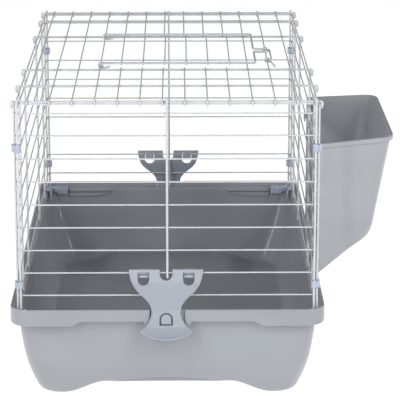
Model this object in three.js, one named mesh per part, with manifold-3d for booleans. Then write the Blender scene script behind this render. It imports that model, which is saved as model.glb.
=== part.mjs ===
// Wire rabbit cage: a moulded tray, a cage of welded wire panels held by clips,
// a roof door with a wire catch, two butterfly latches and a side hay rack.
// Millimetres, +Z up, X across the cage, Y along it, origin under the middle of its box.
import * as THREE from "three";
import { mergeVertices } from "three/addons/utils/BufferGeometryUtils.js";
import { ConvexGeometry } from "three/addons/geometries/ConvexGeometry.js";
import Module from "manifold-3d";

const wasm = await Module();
wasm.setup();

// ---- driving dimensions -------------------------------------------------
const CAGE_WIDTH = 460;        // between the side panels' post lines
const CAGE_LENGTH = 752;       // between the end panels' horizontal wires
const THICK = 1.8;             // radius of posts, roof cross wires and door frame
const THIN = 1.2;              // radius of horizontal and lengthwise wires
const WELD = 0.5;              // how far two crossing wires sink into each other
const GAP = 0.35;              // clearance between separate pieces
const WIRE_SIDES = 6;
const BORE_SIDES = 8;          // flats of the bores and sleeves round a wire

const TRAY_WIDTH = 487;
const TRAY_LENGTH = 780;
const RIM_TOP = 150;
const RIM_SKIRT = 25;          // depth of the turned-down skirt
const RIM_LIP = 9;             // lip height above the ledge the posts stand on
const RIM_RADIUS = 30;
const PAD_PROUD = 1.5;         // latch seat above the rim's outer face
const LEDGE_WIDTH = 14;
const WALL = 2.5;
const FLOOR_LIFT = 18;         // underside of the floor above the feet
const FOOT_INNER = 112;        // where the foot's slope meets the raised floor, across
const FOOT_LONG = 210;         // the same, along the cage
const FOOT_SLOPE = 42;

const ROOF_Z = 474;            // centre height of the roof cross wires
const POST_FOOT_Z = RIM_TOP - RIM_LIP + GAP;
const BAR_PITCH = 36;          // between horizontal wires
const BAR_LOWEST = 169.5;
const STATIONS = [0, 0.149, 0.314, 0.688, 0.889, 1];   // post stations along the sides
const ROOF_WIRE_PITCH = 33.95;
const ROOF_WIRE_SHIFT = -6.5;  // the lengthwise wires sit a little left of the middle
const ROOF_WIRES = 13;
const HINGE_WIRE = 3;          // index of the wire the door turns on
const CATCH_WIRE = 11;         // index of the wire the door catch turns on
const ROOF_HOOK_DROP = 10;     // how far the cross wires' ends hang outside the side panels
const ROOF_OVERHANG = 2.5;     // lengthwise wires past the end panels' wires
const DOORWAY_STUB = 3;        // cut wires past the cross wires in front and behind the doorway

const DOOR_FRONT = 262;        // door frame wires, measured from the front panel
const DOOR_BACK = 509;
const DOOR_RIGHT = 143;
const DOOR_BARS = 6;
const DOOR_BAR_PITCH = 35.2;
const DOOR_FIRST_BAR = 33.44;  // from the hinge wire
const DOOR_BAR_OVERHANG = 2.5;
const TONGUE_REACH = 166.5;
const TONGUE_WIDTH = 23;
const TONGUE_SHIFT = -20;      // its middle from the middle of the door, towards the back
const CATCH_BACK = 26;         // the catch's back and front sleeves, from the middle of the tongue
const CATCH_FRONT = 60;
const BOW_REACH = 5.5;         // the catch's bow and tail, out from its sleeves
const TAIL_BEND = 5;
const TAIL_REACH = 11;
const TAIL_LENGTH = 57;
const SLEEVE_LENGTH = 7;
const SLEEVE_WALL = 2.4;

const LATCH_Z = BAR_LOWEST + BAR_PITCH;   // wire that the tray latches hang on
const LATCH_THICK = 3;
const LATCH_HALF_TOP = 57;
const LATCH_TOP = LATCH_Z + 6;
const LATCH_BOTTOM = 106;
const WINDOW_X = 35;           // middle of each window in the latch, and its finger
const WINDOW_HALF = 8.7;
const FINGER_HALF = 7;         // finger behind each window, round the wire
const NOTCH_HALF = 9.8;        // notch that clears the end panel's middle post
const RACK_TOP_Z = 397.5;
const RACK_RISE = 6.5;
const RACK_FRONT = 45;         // rack's cage-side front corner, from the front panel
const RACK_LENGTH = 330;
const RACK_FRONT_TAPER = 22;   // how much the outer wall is set back at each end
const RACK_BACK_TAPER = 8;
const RACK_OUT = 351;
const RACK_IN = 233.6;
const RACK_WALL = 2.5;
const RACK_RIM = 7;            // height of the band round the rack's mouth
const RACK_RIM_PROUD = 3;
const RACK_DRAFT = 0.03;       // lean of the rack's end walls
const RACK_HOOK_SPREAD = 70;   // each hook from the middle of the rack
const RACK_HOOK_HALF = 9;
const RACK_HOOK_THICK = 2;
const RACK_HOOK_DROP = 6;      // hook's tip below the middle of its wire
const RACK_HOOK_ROW = 6;       // which horizontal wire it hangs on

const CLIP_HEIGHT = 12;
const CLIP_UPPER_Z = 403;
const CLIP_LOWER_Z = 187;
const CLIP_WALL = 2.8;
const FOOT_CLIP_TOP = 144.4;   // plate that lies on the ledge at a tray corner
const FOOT_CLIP_LOW = 124;     // lower end of its two tabs inside the walls

// ---- derived places -------------------------------------------------------
const SIDE_POST_X = CAGE_WIDTH / 2;
const WELD_STEP = THICK + THIN - WELD;
const SIDE_BAR_X = SIDE_POST_X - WELD_STEP;
const END_POST_X = SIDE_BAR_X - THICK - GAP;
const END_Y = CAGE_LENGTH / 2;
const BAR_LEVELS = [];
for (let row = 0; row < 8; row++) BAR_LEVELS.push(BAR_LOWEST + BAR_PITCH * row);
const TOP_BAR_Z = ROOF_Z - THICK - THIN - GAP;
BAR_LEVELS.push(ROOF_Z - BAR_PITCH / 2, TOP_BAR_Z);
const ROOF_WIRE_Z = ROOF_Z + WELD_STEP;
const stationY = (index) => -END_Y + STATIONS[index] * CAGE_LENGTH;
const RACK_START_Y = -END_Y + RACK_FRONT;
const RACK_END_Y = RACK_START_Y + RACK_LENGTH;
const roofWireX = (index) =>
  ROOF_WIRE_SHIFT + (index - (ROOF_WIRES - 1) / 2) * ROOF_WIRE_PITCH;

// ---- solids ---------------------------------------------------------------
function toSolid(geometry) {
  const plain = geometry.index ? geometry.clone() : geometry;
  for (const name of Object.keys(plain.attributes)) {
    if (name !== "position") plain.deleteAttribute(name);
  }
  const merged = mergeVertices(plain, 1e-4);
  const mesh = new wasm.Mesh({
    numProp: 3,
    vertProperties: new Float32Array(merged.attributes.position.array),
    triVerts: new Uint32Array(merged.index.array),
  });
  return new wasm.Manifold(mesh);
}

function toGeometry(solid) {
  const mesh = solid.getMesh();
  const geometry = new THREE.BufferGeometry();
  geometry.setAttribute("position", new THREE.BufferAttribute(mesh.vertProperties, 3));
  geometry.setIndex(new THREE.BufferAttribute(mesh.triVerts, 1));
  geometry.computeVertexNormals();
  return geometry;
}

function union(solids) {
  let list = solids;
  while (list.length > 1) {
    const next = [];
    for (let i = 0; i < list.length; i += 2) {
      next.push(i + 1 < list.length ? list[i].add(list[i + 1]) : list[i]);
    }
    list = next;
  }
  return list[0];
}

function rod(from, to, radius, sides = WIRE_SIDES) {
  const start = new THREE.Vector3(...from);
  const end = new THREE.Vector3(...to);
  const along = end.clone().sub(start);
  const geometry = new THREE.CylinderGeometry(radius, radius, along.length(), sides);
  geometry.rotateY(Math.PI / sides);
  const turn = new THREE.Quaternion().setFromUnitVectors(
    new THREE.Vector3(0, 1, 0), along.clone().normalize());
  geometry.applyQuaternion(turn);
  const middle = start.add(end).multiplyScalar(0.5);
  geometry.translate(middle.x, middle.y, middle.z);
  return toSolid(geometry);
}

// A wire along straight stretches, mitred at each bend.
function bentRod(points, radius, sides = WIRE_SIDES) {
  const path = points.map((point) => new THREE.Vector3(...point));
  const steps = path.slice(1).map((point, i) => point.clone().sub(path[i]).normalize());
  const turn = new THREE.Quaternion().setFromUnitVectors(new THREE.Vector3(0, 0, 1), steps[0]);
  let ring = [];
  for (let i = 0; i < sides; i++) {
    const angle = (i + 0.5) * 2 * Math.PI / sides;
    const spoke = new THREE.Vector3(radius * Math.cos(angle), radius * Math.sin(angle), 0);
    ring.push(spoke.applyQuaternion(turn).add(path[0]));
  }
  const rings = [ring];
  for (let i = 1; i < path.length; i++) {
    const mitre = steps[i] ? steps[i - 1].clone().add(steps[i]).normalize() : steps[i - 1];
    const run = mitre.dot(steps[i - 1]);
    ring = ring.map((point) => {
      const distance = path[i].clone().sub(point).dot(mitre) / run;
      return point.clone().addScaledVector(steps[i - 1], distance);
    });
    rings.push(ring);
  }
  return loft(rings.map((level) => level.map((point) => point.toArray())));
}

function block(low, high) {
  const size = high.map((value, axis) => value - low[axis]);
  const geometry = new THREE.BoxGeometry(...size);
  geometry.translate(...low.map((value, axis) => value + size[axis] / 2));
  return toSolid(geometry);
}

function hull(points) {
  return toSolid(new ConvexGeometry(points.map((point) => new THREE.Vector3(...point))));
}

function extrude(shape, depth) {
  return new THREE.ExtrudeGeometry(shape, { depth, bevelEnabled: false, curveSegments: 5 });
}

function roundedRing(halfX, halfY, radius, z, steps = 4) {
  const ring = [];
  for (let corner = 0; corner < 4; corner++) {
    const signX = corner === 0 || corner === 3 ? 1 : -1;
    const signY = corner < 2 ? 1 : -1;
    for (let step = 0; step <= steps; step++) {
      const angle = (corner + step / steps) * Math.PI / 2;
      ring.push([
        signX * (halfX - radius) + radius * Math.cos(angle),
        signY * (halfY - radius) + radius * Math.sin(angle),
        z,
      ]);
    }
  }
  return ring;
}

function loft(rings) {
  const count = rings[0].length;
  const positions = rings.flat(2);
  const index = [];
  for (let level = 0; level + 1 < rings.length; level++) {
    for (let i = 0; i < count; i++) {
      const a = level * count + i;
      const b = level * count + (i + 1) % count;
      index.push(a, b, b + count, a, b + count, a + count);
    }
  }
  const last = (rings.length - 1) * count;
  for (let i = 1; i + 1 < count; i++) {
    index.push(0, i + 1, i);
    index.push(last, last + i, last + i + 1);
  }
  const geometry = new THREE.BufferGeometry();
  geometry.setAttribute("position", new THREE.Float32BufferAttribute(positions, 3));
  geometry.setIndex(index);
  return toSolid(geometry);
}

// ---- materials ------------------------------------------------------------
const plasticGrey = { color: 0xb2b8c0, roughness: 0.42, metalness: 0 };
const latchGrey = { color: 0xa9b0be, roughness: 0.45, metalness: 0 };
const clipBlue = { color: 0xb9c4ea, roughness: 0.4, metalness: 0 };
const wireWhite = { color: 0xdcdcda, roughness: 0.3, metalness: 0.15 };

const cage = new THREE.Group();

function addPart(name, solid, finish, turned = false) {
  const mesh = new THREE.Mesh(toGeometry(solid), new THREE.MeshStandardMaterial(finish));
  mesh.name = name;
  if (turned) mesh.rotation.z = Math.PI;
  cage.add(mesh);
}

// ---- tray -----------------------------------------------------------------
// [inset from the rim's outer face, height, plan radius]
const BODY_INSET = LEDGE_WIDTH - 0.5;
const BODY_PROFILE = [
  [46, 0, 31],
  [39, 5, 34],
  [34, 15, 37],
  [27.5, 34, 37],
  [21, 60, 33],
  [15.2, 104, 25],
  [BODY_INSET, RIM_TOP - RIM_LIP - WALL, 18],
];

function trayRing(inset, z, radius) {
  return roundedRing(TRAY_WIDTH / 2 - inset, TRAY_LENGTH / 2 - inset, radius, z);
}

function footChannel(half, slope, lift, alongX, grow) {
  const low = half + slope + grow;
  const high = half + grow;
  const shape = new THREE.Shape();
  shape.moveTo(-low, -5);
  shape.lineTo(low, -5);
  shape.lineTo(low, 0);
  shape.quadraticCurveTo(low - slope * 0.45, lift * 0.12, low - slope * 0.55, lift * 0.5);
  shape.quadraticCurveTo(high + slope * 0.25, lift, high, lift);
  shape.lineTo(-high, lift);
  shape.quadraticCurveTo(-high - slope * 0.25, lift, -low + slope * 0.55, lift * 0.5);
  shape.quadraticCurveTo(-low + slope * 0.45, lift * 0.12, -low, 0);
  shape.closePath();
  const geometry = new THREE.ExtrudeGeometry(shape, {
    depth: TRAY_LENGTH * 1.2, bevelEnabled: false, curveSegments: 3,
  });
  geometry.translate(0, 0, -TRAY_LENGTH * 0.6);
  geometry.rotateX(Math.PI / 2);
  if (alongX) geometry.rotateZ(Math.PI / 2);
  return toSolid(geometry);
}

function latchPad() {
  const halfLow = 35;
  const halfTop = 27;
  const sunk = WALL * 0.6;
  const shape = new THREE.Shape();
  shape.moveTo(-halfLow, RIM_TOP - RIM_SKIRT - 3);
  shape.lineTo(halfLow, RIM_TOP - RIM_SKIRT - 3);
  shape.lineTo(halfTop, RIM_TOP - 2);
  shape.lineTo(-halfTop, RIM_TOP - 2);
  shape.closePath();
  const geometry = extrude(shape, PAD_PROUD + sunk);
  geometry.rotateX(Math.PI / 2);
  geometry.translate(0, -TRAY_LENGTH / 2 + sunk, 0);
  return toSolid(geometry);
}

function makeTray() {
  const outer = loft([
    ...BODY_PROFILE.map(([inset, z, radius]) => trayRing(inset, z, radius)),
    trayRing(WALL, RIM_TOP - RIM_LIP - WALL, RIM_RADIUS - WALL),
    trayRing(WALL, RIM_TOP - RIM_SKIRT, RIM_RADIUS - WALL),
    trayRing(0, RIM_TOP - RIM_SKIRT, RIM_RADIUS),
    trayRing(0, RIM_TOP - 1.5, RIM_RADIUS),
    trayRing(0.7, RIM_TOP, RIM_RADIUS - 0.7),
  ]);
  const inner = loft([
    ...BODY_PROFILE.map(([inset, z, radius]) =>
      trayRing(inset + WALL, Math.max(z, 0) + WALL, radius - WALL)),
    trayRing(WALL, RIM_TOP - RIM_LIP, RIM_RADIUS - WALL),
    trayRing(WALL, RIM_TOP + 5, RIM_RADIUS - WALL),
  ]);
  const outerChannels = union([
    footChannel(FOOT_INNER, FOOT_SLOPE, FLOOR_LIFT, false, 0),
    footChannel(FOOT_LONG, FOOT_SLOPE, FLOOR_LIFT, true, 0),
  ]);
  const innerChannels = union([
    footChannel(FOOT_INNER, FOOT_SLOPE, FLOOR_LIFT + WALL, false, WALL),
    footChannel(FOOT_LONG, FOOT_SLOPE, FLOOR_LIFT + WALL, true, WALL),
  ]);
  const shell = outer.subtract(outerChannels).subtract(inner.subtract(innerChannels));
  const pad = latchPad();
  return union([shell, pad, pad.rotate([0, 0, 180])]);
}

// ---- wire panels ----------------------------------------------------------
// The front panel's middle post is outside its wires and ends in the latch's notch.
// The back panel's is inside them and reaches down to the ledge.
function makeEndPanel(postInside) {
  const wires = BAR_LEVELS.map((z) => rod([-END_POST_X, -END_Y, z], [END_POST_X, -END_Y, z], THIN));
  const postY = -END_Y - WELD_STEP;
  for (const x of [-END_POST_X, END_POST_X]) {
    wires.push(rod([x, postY, POST_FOOT_Z], [x, postY, TOP_BAR_Z + 1], THICK));
  }
  const middleY = postInside ? -END_Y + WELD_STEP : postY;
  const middleFoot = postInside ? POST_FOOT_Z : LATCH_Z - 8;
  wires.push(rod([0, middleY, middleFoot], [0, middleY, TOP_BAR_Z + 1], THICK));
  return union(wires);
}

const SIDE_END_Y = END_Y - 1;

function sidePostY(index) {
  return THREE.MathUtils.clamp(stationY(index), -SIDE_END_Y, SIDE_END_Y);
}

function makeSidePanel(side) {
  const wires = BAR_LEVELS.map((z) =>
    rod([side * SIDE_BAR_X, -SIDE_END_Y, z], [side * SIDE_BAR_X, SIDE_END_Y, z], THIN));
  STATIONS.forEach((_, index) => {
    const y = sidePostY(index);
    wires.push(rod([side * SIDE_POST_X, y, POST_FOOT_Z], [side * SIDE_POST_X, y, TOP_BAR_Z + 0.5], THICK));
  });
  return union(wires);
}

const HOOK_X = SIDE_POST_X + 2 * THICK + GAP + 0.2;

function makeRoofPanel() {
  const hookTip = ROOF_Z - ROOF_HOOK_DROP;
  const wires = STATIONS.map((_, index) => {
    const y = sidePostY(index);
    return bentRod([
      [-HOOK_X, y, hookTip], [-HOOK_X, y, ROOF_Z], [HOOK_X, y, ROOF_Z], [HOOK_X, y, hookTip],
    ], THICK);
  });
  const reach = END_Y + ROOF_OVERHANG;
  const doorwayFront = stationY(2) + DOORWAY_STUB;
  const doorwayBack = stationY(3) - DOORWAY_STUB;
  for (let index = 0; index < ROOF_WIRES; index++) {
    const x = roofWireX(index);
    const crossesDoor = index > HINGE_WIRE && index < CATCH_WIRE - 1;
    if (crossesDoor) {
      wires.push(rod([x, -reach, ROOF_WIRE_Z], [x, doorwayFront, ROOF_WIRE_Z], THIN));
      wires.push(rod([x, doorwayBack, ROOF_WIRE_Z], [x, reach, ROOF_WIRE_Z], THIN));
    } else {
      wires.push(rod([x, -reach, ROOF_WIRE_Z], [x, reach, ROOF_WIRE_Z], THIN));
    }
  }
  return union(wires);
}

// ---- roof door and its catch ------------------------------------------------
const DOOR_WIRE_Z = ROOF_WIRE_Z + THIN + THICK + GAP;
const SLEEVE_BORE = THIN + GAP;
const SLEEVE_OUTER = SLEEVE_BORE + SLEEVE_WALL;

function sleeve(x, y, length, sides = BORE_SIDES) {
  const tube = rod([x, y - length / 2, ROOF_WIRE_Z], [x, y + length / 2, ROOF_WIRE_Z], SLEEVE_OUTER, sides);
  const boreRadius = SLEEVE_BORE / Math.cos(Math.PI / sides);
  const bore = rod([x, y - length, ROOF_WIRE_Z], [x, y + length, ROOF_WIRE_Z], boreRadius, sides);
  return tube.subtract(bore);
}

function makeDoor() {
  const hingeX = roofWireX(HINGE_WIRE);
  const frontY = -END_Y + DOOR_FRONT;
  const backY = -END_Y + DOOR_BACK;
  const middleY = (frontY + backY) / 2 + TONGUE_SHIFT;
  const tongueFront = middleY - TONGUE_WIDTH / 2;
  const tongueBack = middleY + TONGUE_WIDTH / 2;
  const z = DOOR_WIRE_Z;
  const start = hingeX + 0.5;
  const pieces = [
    bentRod([
      [start, frontY, z], [DOOR_RIGHT, frontY, z], [DOOR_RIGHT, tongueFront, z],
      [TONGUE_REACH, tongueFront, z], [TONGUE_REACH, tongueBack, z], [DOOR_RIGHT, tongueBack, z],
      [DOOR_RIGHT, backY, z], [start, backY, z],
    ], THICK),
    sleeve(hingeX, frontY, SLEEVE_LENGTH),
    sleeve(hingeX, backY, SLEEVE_LENGTH),
  ];
  const barZ = z - WELD_STEP;
  for (let bar = 0; bar < DOOR_BARS; bar++) {
    const x = hingeX + DOOR_FIRST_BAR + bar * DOOR_BAR_PITCH;
    pieces.push(rod([x, frontY - DOOR_BAR_OVERHANG, barZ], [x, backY + DOOR_BAR_OVERHANG, barZ], THIN));
  }
  return union(pieces);
}

function makeCatch() {
  const x = roofWireX(CATCH_WIRE);
  const tongueY = -END_Y + (DOOR_FRONT + DOOR_BACK) / 2 + TONGUE_SHIFT;
  const backY = tongueY + CATCH_BACK;
  const frontY = tongueY - CATCH_FRONT;
  const start = x + SLEEVE_BORE + SLEEVE_WALL / 2;
  const out = x + SLEEVE_OUTER + BOW_REACH;
  return union([
    sleeve(x, backY, SLEEVE_LENGTH),
    sleeve(x, frontY, SLEEVE_LENGTH),
    bentRod([
      [start, backY, ROOF_WIRE_Z], [out, backY, ROOF_WIRE_Z],
      [out, frontY, ROOF_WIRE_Z], [start, frontY, ROOF_WIRE_Z],
    ], THIN),
    bentRod([
      [start, frontY, ROOF_WIRE_Z],
      [x + TAIL_BEND, frontY - TAIL_LENGTH / 3, ROOF_WIRE_Z],
      [x + TAIL_REACH, frontY - TAIL_LENGTH, ROOF_WIRE_Z],
    ], THIN),
  ]);
}

// ---- tray latches -----------------------------------------------------------
function latchOutline() {
  const shape = new THREE.Shape();
  const waistZ = 150;
  const flareZ = 123;
  const tipZ = 115;
  shape.moveTo(LATCH_HALF_TOP, LATCH_TOP);
  shape.bezierCurveTo(55.5, 197, 46, 186, 36, 175);
  shape.bezierCurveTo(27, 165, 22.3, 158, 22.2, waistZ);
  shape.bezierCurveTo(22.2, 141, 25, 132, 32, flareZ);
  shape.lineTo(39, tipZ);
  shape.quadraticCurveTo(22, LATCH_BOTTOM - 2.5, 0, LATCH_BOTTOM - 3);
  shape.quadraticCurveTo(-22, LATCH_BOTTOM - 2.5, -39, tipZ);
  shape.lineTo(-32, flareZ);
  shape.bezierCurveTo(-25, 132, -22.2, 141, -22.2, waistZ);
  shape.bezierCurveTo(-22.3, 158, -27, 165, -36, 175);
  shape.bezierCurveTo(-46, 186, -55.5, 197, -LATCH_HALF_TOP, LATCH_TOP);
  shape.lineTo(-NOTCH_HALF, LATCH_TOP);
  shape.absarc(0, LATCH_Z - 2, NOTCH_HALF, Math.PI, Math.PI * 2, false);
  shape.lineTo(NOTCH_HALF, LATCH_TOP);
  shape.closePath();
  for (const side of [-1, 1]) {
    const window = new THREE.Path();
    const middle = side * WINDOW_X;
    window.moveTo(middle - WINDOW_HALF, LATCH_Z - 1);
    window.absarc(middle, LATCH_Z - 10.5, WINDOW_HALF, Math.PI, Math.PI * 2, false);
    window.lineTo(middle + WINDOW_HALF, LATCH_Z - 1);
    window.closePath();
    shape.holes.push(window);
  }
  return shape;
}

// Side view, as [distance out from the end panel's bar plane, height].
function latchSection() {
  const padFace = TRAY_LENGTH / 2 - END_Y + PAD_PROUD;
  const back = padFace + GAP;
  const front = back + LATCH_THICK;
  const hang = THIN + GAP;
  const bendTop = 190;
  const bendLow = 149;
  const hookTop = RIM_TOP - RIM_SKIRT - 3.7;
  const shape = new THREE.Shape();
  shape.moveTo(hang, LATCH_TOP);
  shape.lineTo(hang, bendTop);
  shape.quadraticCurveTo(back - 2, bendLow + 9, back, bendLow);
  shape.lineTo(back, hookTop);
  shape.lineTo(back - 2.6, hookTop);
  shape.lineTo(back - 1.8, hookTop - 3);
  shape.lineTo(back + 3, hookTop - 4);
  shape.quadraticCurveTo(back + 8, LATCH_BOTTOM + 6, back + 13, LATCH_BOTTOM - 2.5);
  shape.lineTo(back + 16, LATCH_BOTTOM - 0.5);
  shape.quadraticCurveTo(front + 8, LATCH_BOTTOM + 8, front, 124);
  shape.lineTo(front, bendLow);
  shape.quadraticCurveTo(front - 2, bendLow + 9.5, hang + LATCH_THICK, bendTop + 1);
  shape.lineTo(hang + LATCH_THICK, LATCH_TOP);
  shape.closePath();
  return shape;
}

function makeLatch() {
  const outline = extrude(latchOutline(), 60);
  outline.rotateX(Math.PI / 2);
  outline.translate(0, -END_Y + 20, 0);
  const sectionWidth = 200;
  const section = extrude(latchSection(), sectionWidth);
  section.rotateX(Math.PI / 2);
  section.rotateZ(-Math.PI / 2);
  section.translate(sectionWidth / 2, -END_Y, 0);
  const plate = toSolid(outline).intersect(toSolid(section));
  const boreRadius = (THIN + GAP) / Math.cos(Math.PI / BORE_SIDES);
  const boreEnd = LATCH_HALF_TOP + 23;
  const bore = rod([-boreEnd, -END_Y, LATCH_Z], [boreEnd, -END_Y, LATCH_Z], boreRadius, BORE_SIDES);
  const knuckles = [-1, 1].map((side) => {
    const middle = side * WINDOW_X;
    const low = [middle - FINGER_HALF, -END_Y - THIN - GAP - 1, LATCH_Z - 4.5];
    const high = [middle + FINGER_HALF, -END_Y + THIN + GAP + 1.6, LATCH_TOP - 1];
    return block(low, high);
  });
  return union([plate, ...knuckles]).subtract(bore);
}

// ---- hay rack -----------------------------------------------------------------
// Side view of the hopper, shrunk by an inset and open at the top when it is the hollow.
function rackSection(inset) {
  const open = inset > 0 ? 12 : 0;
  return [
    [RACK_IN - open, RACK_TOP_Z + open],
    [RACK_OUT - RACK_RIM_PROUD - inset, RACK_TOP_Z + RACK_RISE + open],
    [RACK_OUT - 30.5 - inset, 256],
    [RACK_OUT - 37 - inset, 244],
    [RACK_OUT - 50 - inset * 0.6, 232 + inset * 0.8],
    [RACK_IN - open, 187 + inset - open * 0.7],
  ];
}

function rackHull(inset) {
  const points = [];
  for (const [x, z] of rackSection(inset)) {
    const out = (x - RACK_IN) / (RACK_OUT - RACK_IN);
    const draft = (RACK_TOP_Z - z) * RACK_DRAFT;
    const start = RACK_START_Y + RACK_FRONT_TAPER * out + draft + inset;
    const end = RACK_END_Y - RACK_BACK_TAPER * out - draft - inset;
    points.push([x, start, z], [x, end, z]);
  }
  return hull(points);
}

function rackRim() {
  const grow = RACK_RIM_PROUD;
  const corners = (drop) => [
    [RACK_IN, RACK_START_Y - grow, RACK_TOP_Z - drop],
    [RACK_OUT, RACK_START_Y + RACK_FRONT_TAPER - grow, RACK_TOP_Z + RACK_RISE - drop],
    [RACK_OUT, RACK_END_Y - RACK_BACK_TAPER + grow, RACK_TOP_Z + RACK_RISE - drop],
    [RACK_IN, RACK_END_Y + grow, RACK_TOP_Z - drop],
  ];
  return hull([...corners(0), ...corners(RACK_RIM)]);
}

function makeRack() {
  const shell = rackHull(0).add(rackRim()).subtract(rackHull(RACK_WALL));
  const hookBar = BAR_LOWEST + RACK_HOOK_ROW * BAR_PITCH;
  const overX = SIDE_BAR_X - THIN - GAP;
  const flangeLow = hookBar - 14;
  const flangeHigh = hookBar + 5;
  const middle = (RACK_START_Y + RACK_END_Y) / 2;
  const hooks = [middle - RACK_HOOK_SPREAD, middle + RACK_HOOK_SPREAD].map((y) => {
    const start = y - RACK_HOOK_HALF;
    const end = y + RACK_HOOK_HALF;
    return union([
      block([overX - RACK_HOOK_THICK, start, hookBar + THIN + GAP], [RACK_IN + 1, end, flangeHigh]),
      block([overX - RACK_HOOK_THICK, start, hookBar - RACK_HOOK_DROP], [overX, end, flangeHigh]),
    ]);
  });
  const flange = block(
    [RACK_IN, RACK_START_Y + 2, flangeLow],
    [RACK_IN + RACK_WALL, RACK_END_Y - 2, flangeHigh]);
  return union([shell, flange, ...hooks]);
}

// ---- corner clips ---------------------------------------------------------------
function makeCornerClip(signX, signY, z) {
  const postA = [signX * END_POST_X, signY * (END_Y + WELD_STEP)];
  const postB = [signX * SIDE_POST_X, signY * SIDE_END_Y];
  const low = z - CLIP_HEIGHT / 2;
  const high = z + CLIP_HEIGHT / 2;
  const outer = THICK + GAP + CLIP_WALL;
  const bore = (THICK + GAP) / Math.cos(Math.PI / BORE_SIDES);
  const points = [];
  for (const [x, y] of [postA, postB]) {
    for (let i = 0; i < BORE_SIDES; i++) {
      const angle = (i + 0.5) * 2 * Math.PI / BORE_SIDES;
      for (const level of [low, high]) {
        points.push([x + outer * Math.cos(angle), y + outer * Math.sin(angle), level]);
      }
    }
  }
  const post = ([x, y]) => rod([x, y, low - 5], [x, y, high + 5], bore, BORE_SIDES);
  return hull(points).subtract(post(postA)).subtract(post(postB));
}

// An angle clip on the ledge at a tray corner, notched round the two posts that stand there,
// with one tab down the inside of each wall.
function makeFootClip(signX, signY) {
  const endPostY = END_Y + WELD_STEP;
  const clear = THICK + GAP;
  const notchX = END_POST_X - clear;
  const notchY = SIDE_END_Y - clear;
  const plateX = SIDE_POST_X + 3.5;
  const plateY = endPostY + 3.5;
  const endTab = [190, 212];
  const sideTab = [343, 360];
  const tabFaceX = 220.6;
  const tabFaceY = 367.6;
  const tabThick = 3.6;
  const bottom = POST_FOOT_Z;
  const corner = new THREE.Shape([
    new THREE.Vector2(endTab[0], tabFaceY),
    new THREE.Vector2(tabFaceX, tabFaceY),
    new THREE.Vector2(tabFaceX, sideTab[0]),
    new THREE.Vector2(plateX, sideTab[0]),
    new THREE.Vector2(plateX, notchY),
    new THREE.Vector2(notchX + 4.5, notchY),
    new THREE.Vector2(notchX, notchY + 3.5),
    new THREE.Vector2(notchX, plateY),
    new THREE.Vector2(endTab[0], plateY),
  ]);
  const plate = extrude(corner, FOOT_CLIP_TOP - bottom);
  plate.translate(0, 0, bottom);
  const clip = union([
    toSolid(plate),
    block([endTab[0], tabFaceY, FOOT_CLIP_LOW], [endTab[1], tabFaceY + tabThick, FOOT_CLIP_TOP]),
    block([tabFaceX, sideTab[0], FOOT_CLIP_LOW], [tabFaceX + tabThick, sideTab[1], FOOT_CLIP_TOP]),
  ]);
  const onX = signX > 0 ? clip : clip.mirror([1, 0, 0]);
  return signY > 0 ? onX : onX.mirror([0, 1, 0]);
}

// ---- assembly ---------------------------------------------------------------------
addPart("tray", makeTray(), plasticGrey);
addPart("front_panel", makeEndPanel(false), wireWhite);
addPart("back_panel", makeEndPanel(true), wireWhite, true);
addPart("left_panel", makeSidePanel(-1), wireWhite);
addPart("right_panel", makeSidePanel(1), wireWhite);
addPart("roof_panel", makeRoofPanel(), wireWhite);
addPart("roof_door", makeDoor(), wireWhite);
addPart("door_catch", makeCatch(), wireWhite);
const latch = makeLatch();
addPart("front_latch", latch, latchGrey);
addPart("back_latch", latch, latchGrey, true);
addPart("hay_rack", makeRack(), plasticGrey);
for (const [endName, signY] of [["front", -1], ["back", 1]]) {
  for (const [sideName, signX] of [["left", -1], ["right", 1]]) {
    const corner = `${endName}_${sideName}`;
    addPart(`clip_${corner}_upper`, makeCornerClip(signX, signY, CLIP_UPPER_Z), clipBlue);
    addPart(`clip_${corner}_lower`, makeCornerClip(signX, signY, CLIP_LOWER_Z), clipBlue);
    addPart(`clip_${corner}_foot`, makeFootClip(signX, signY), clipBlue);
  }
}

const boxMiddleX = (RACK_OUT - TRAY_WIDTH / 2) / 2;
cage.position.set(-boxMiddleX, 0, 0);

export default cage;
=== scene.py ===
"""Finished surfaces, materials, light and camera for the wire rabbit cage.

Lengths are in millimetres in the cage's own frame: X across from the middle of the tray,
Y along it, Z up from the surface it stands on. place() turns them into metres in the row frame.
"""

from math import copysign, cos, exp, pi, radians, sin, sqrt, tanh

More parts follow.
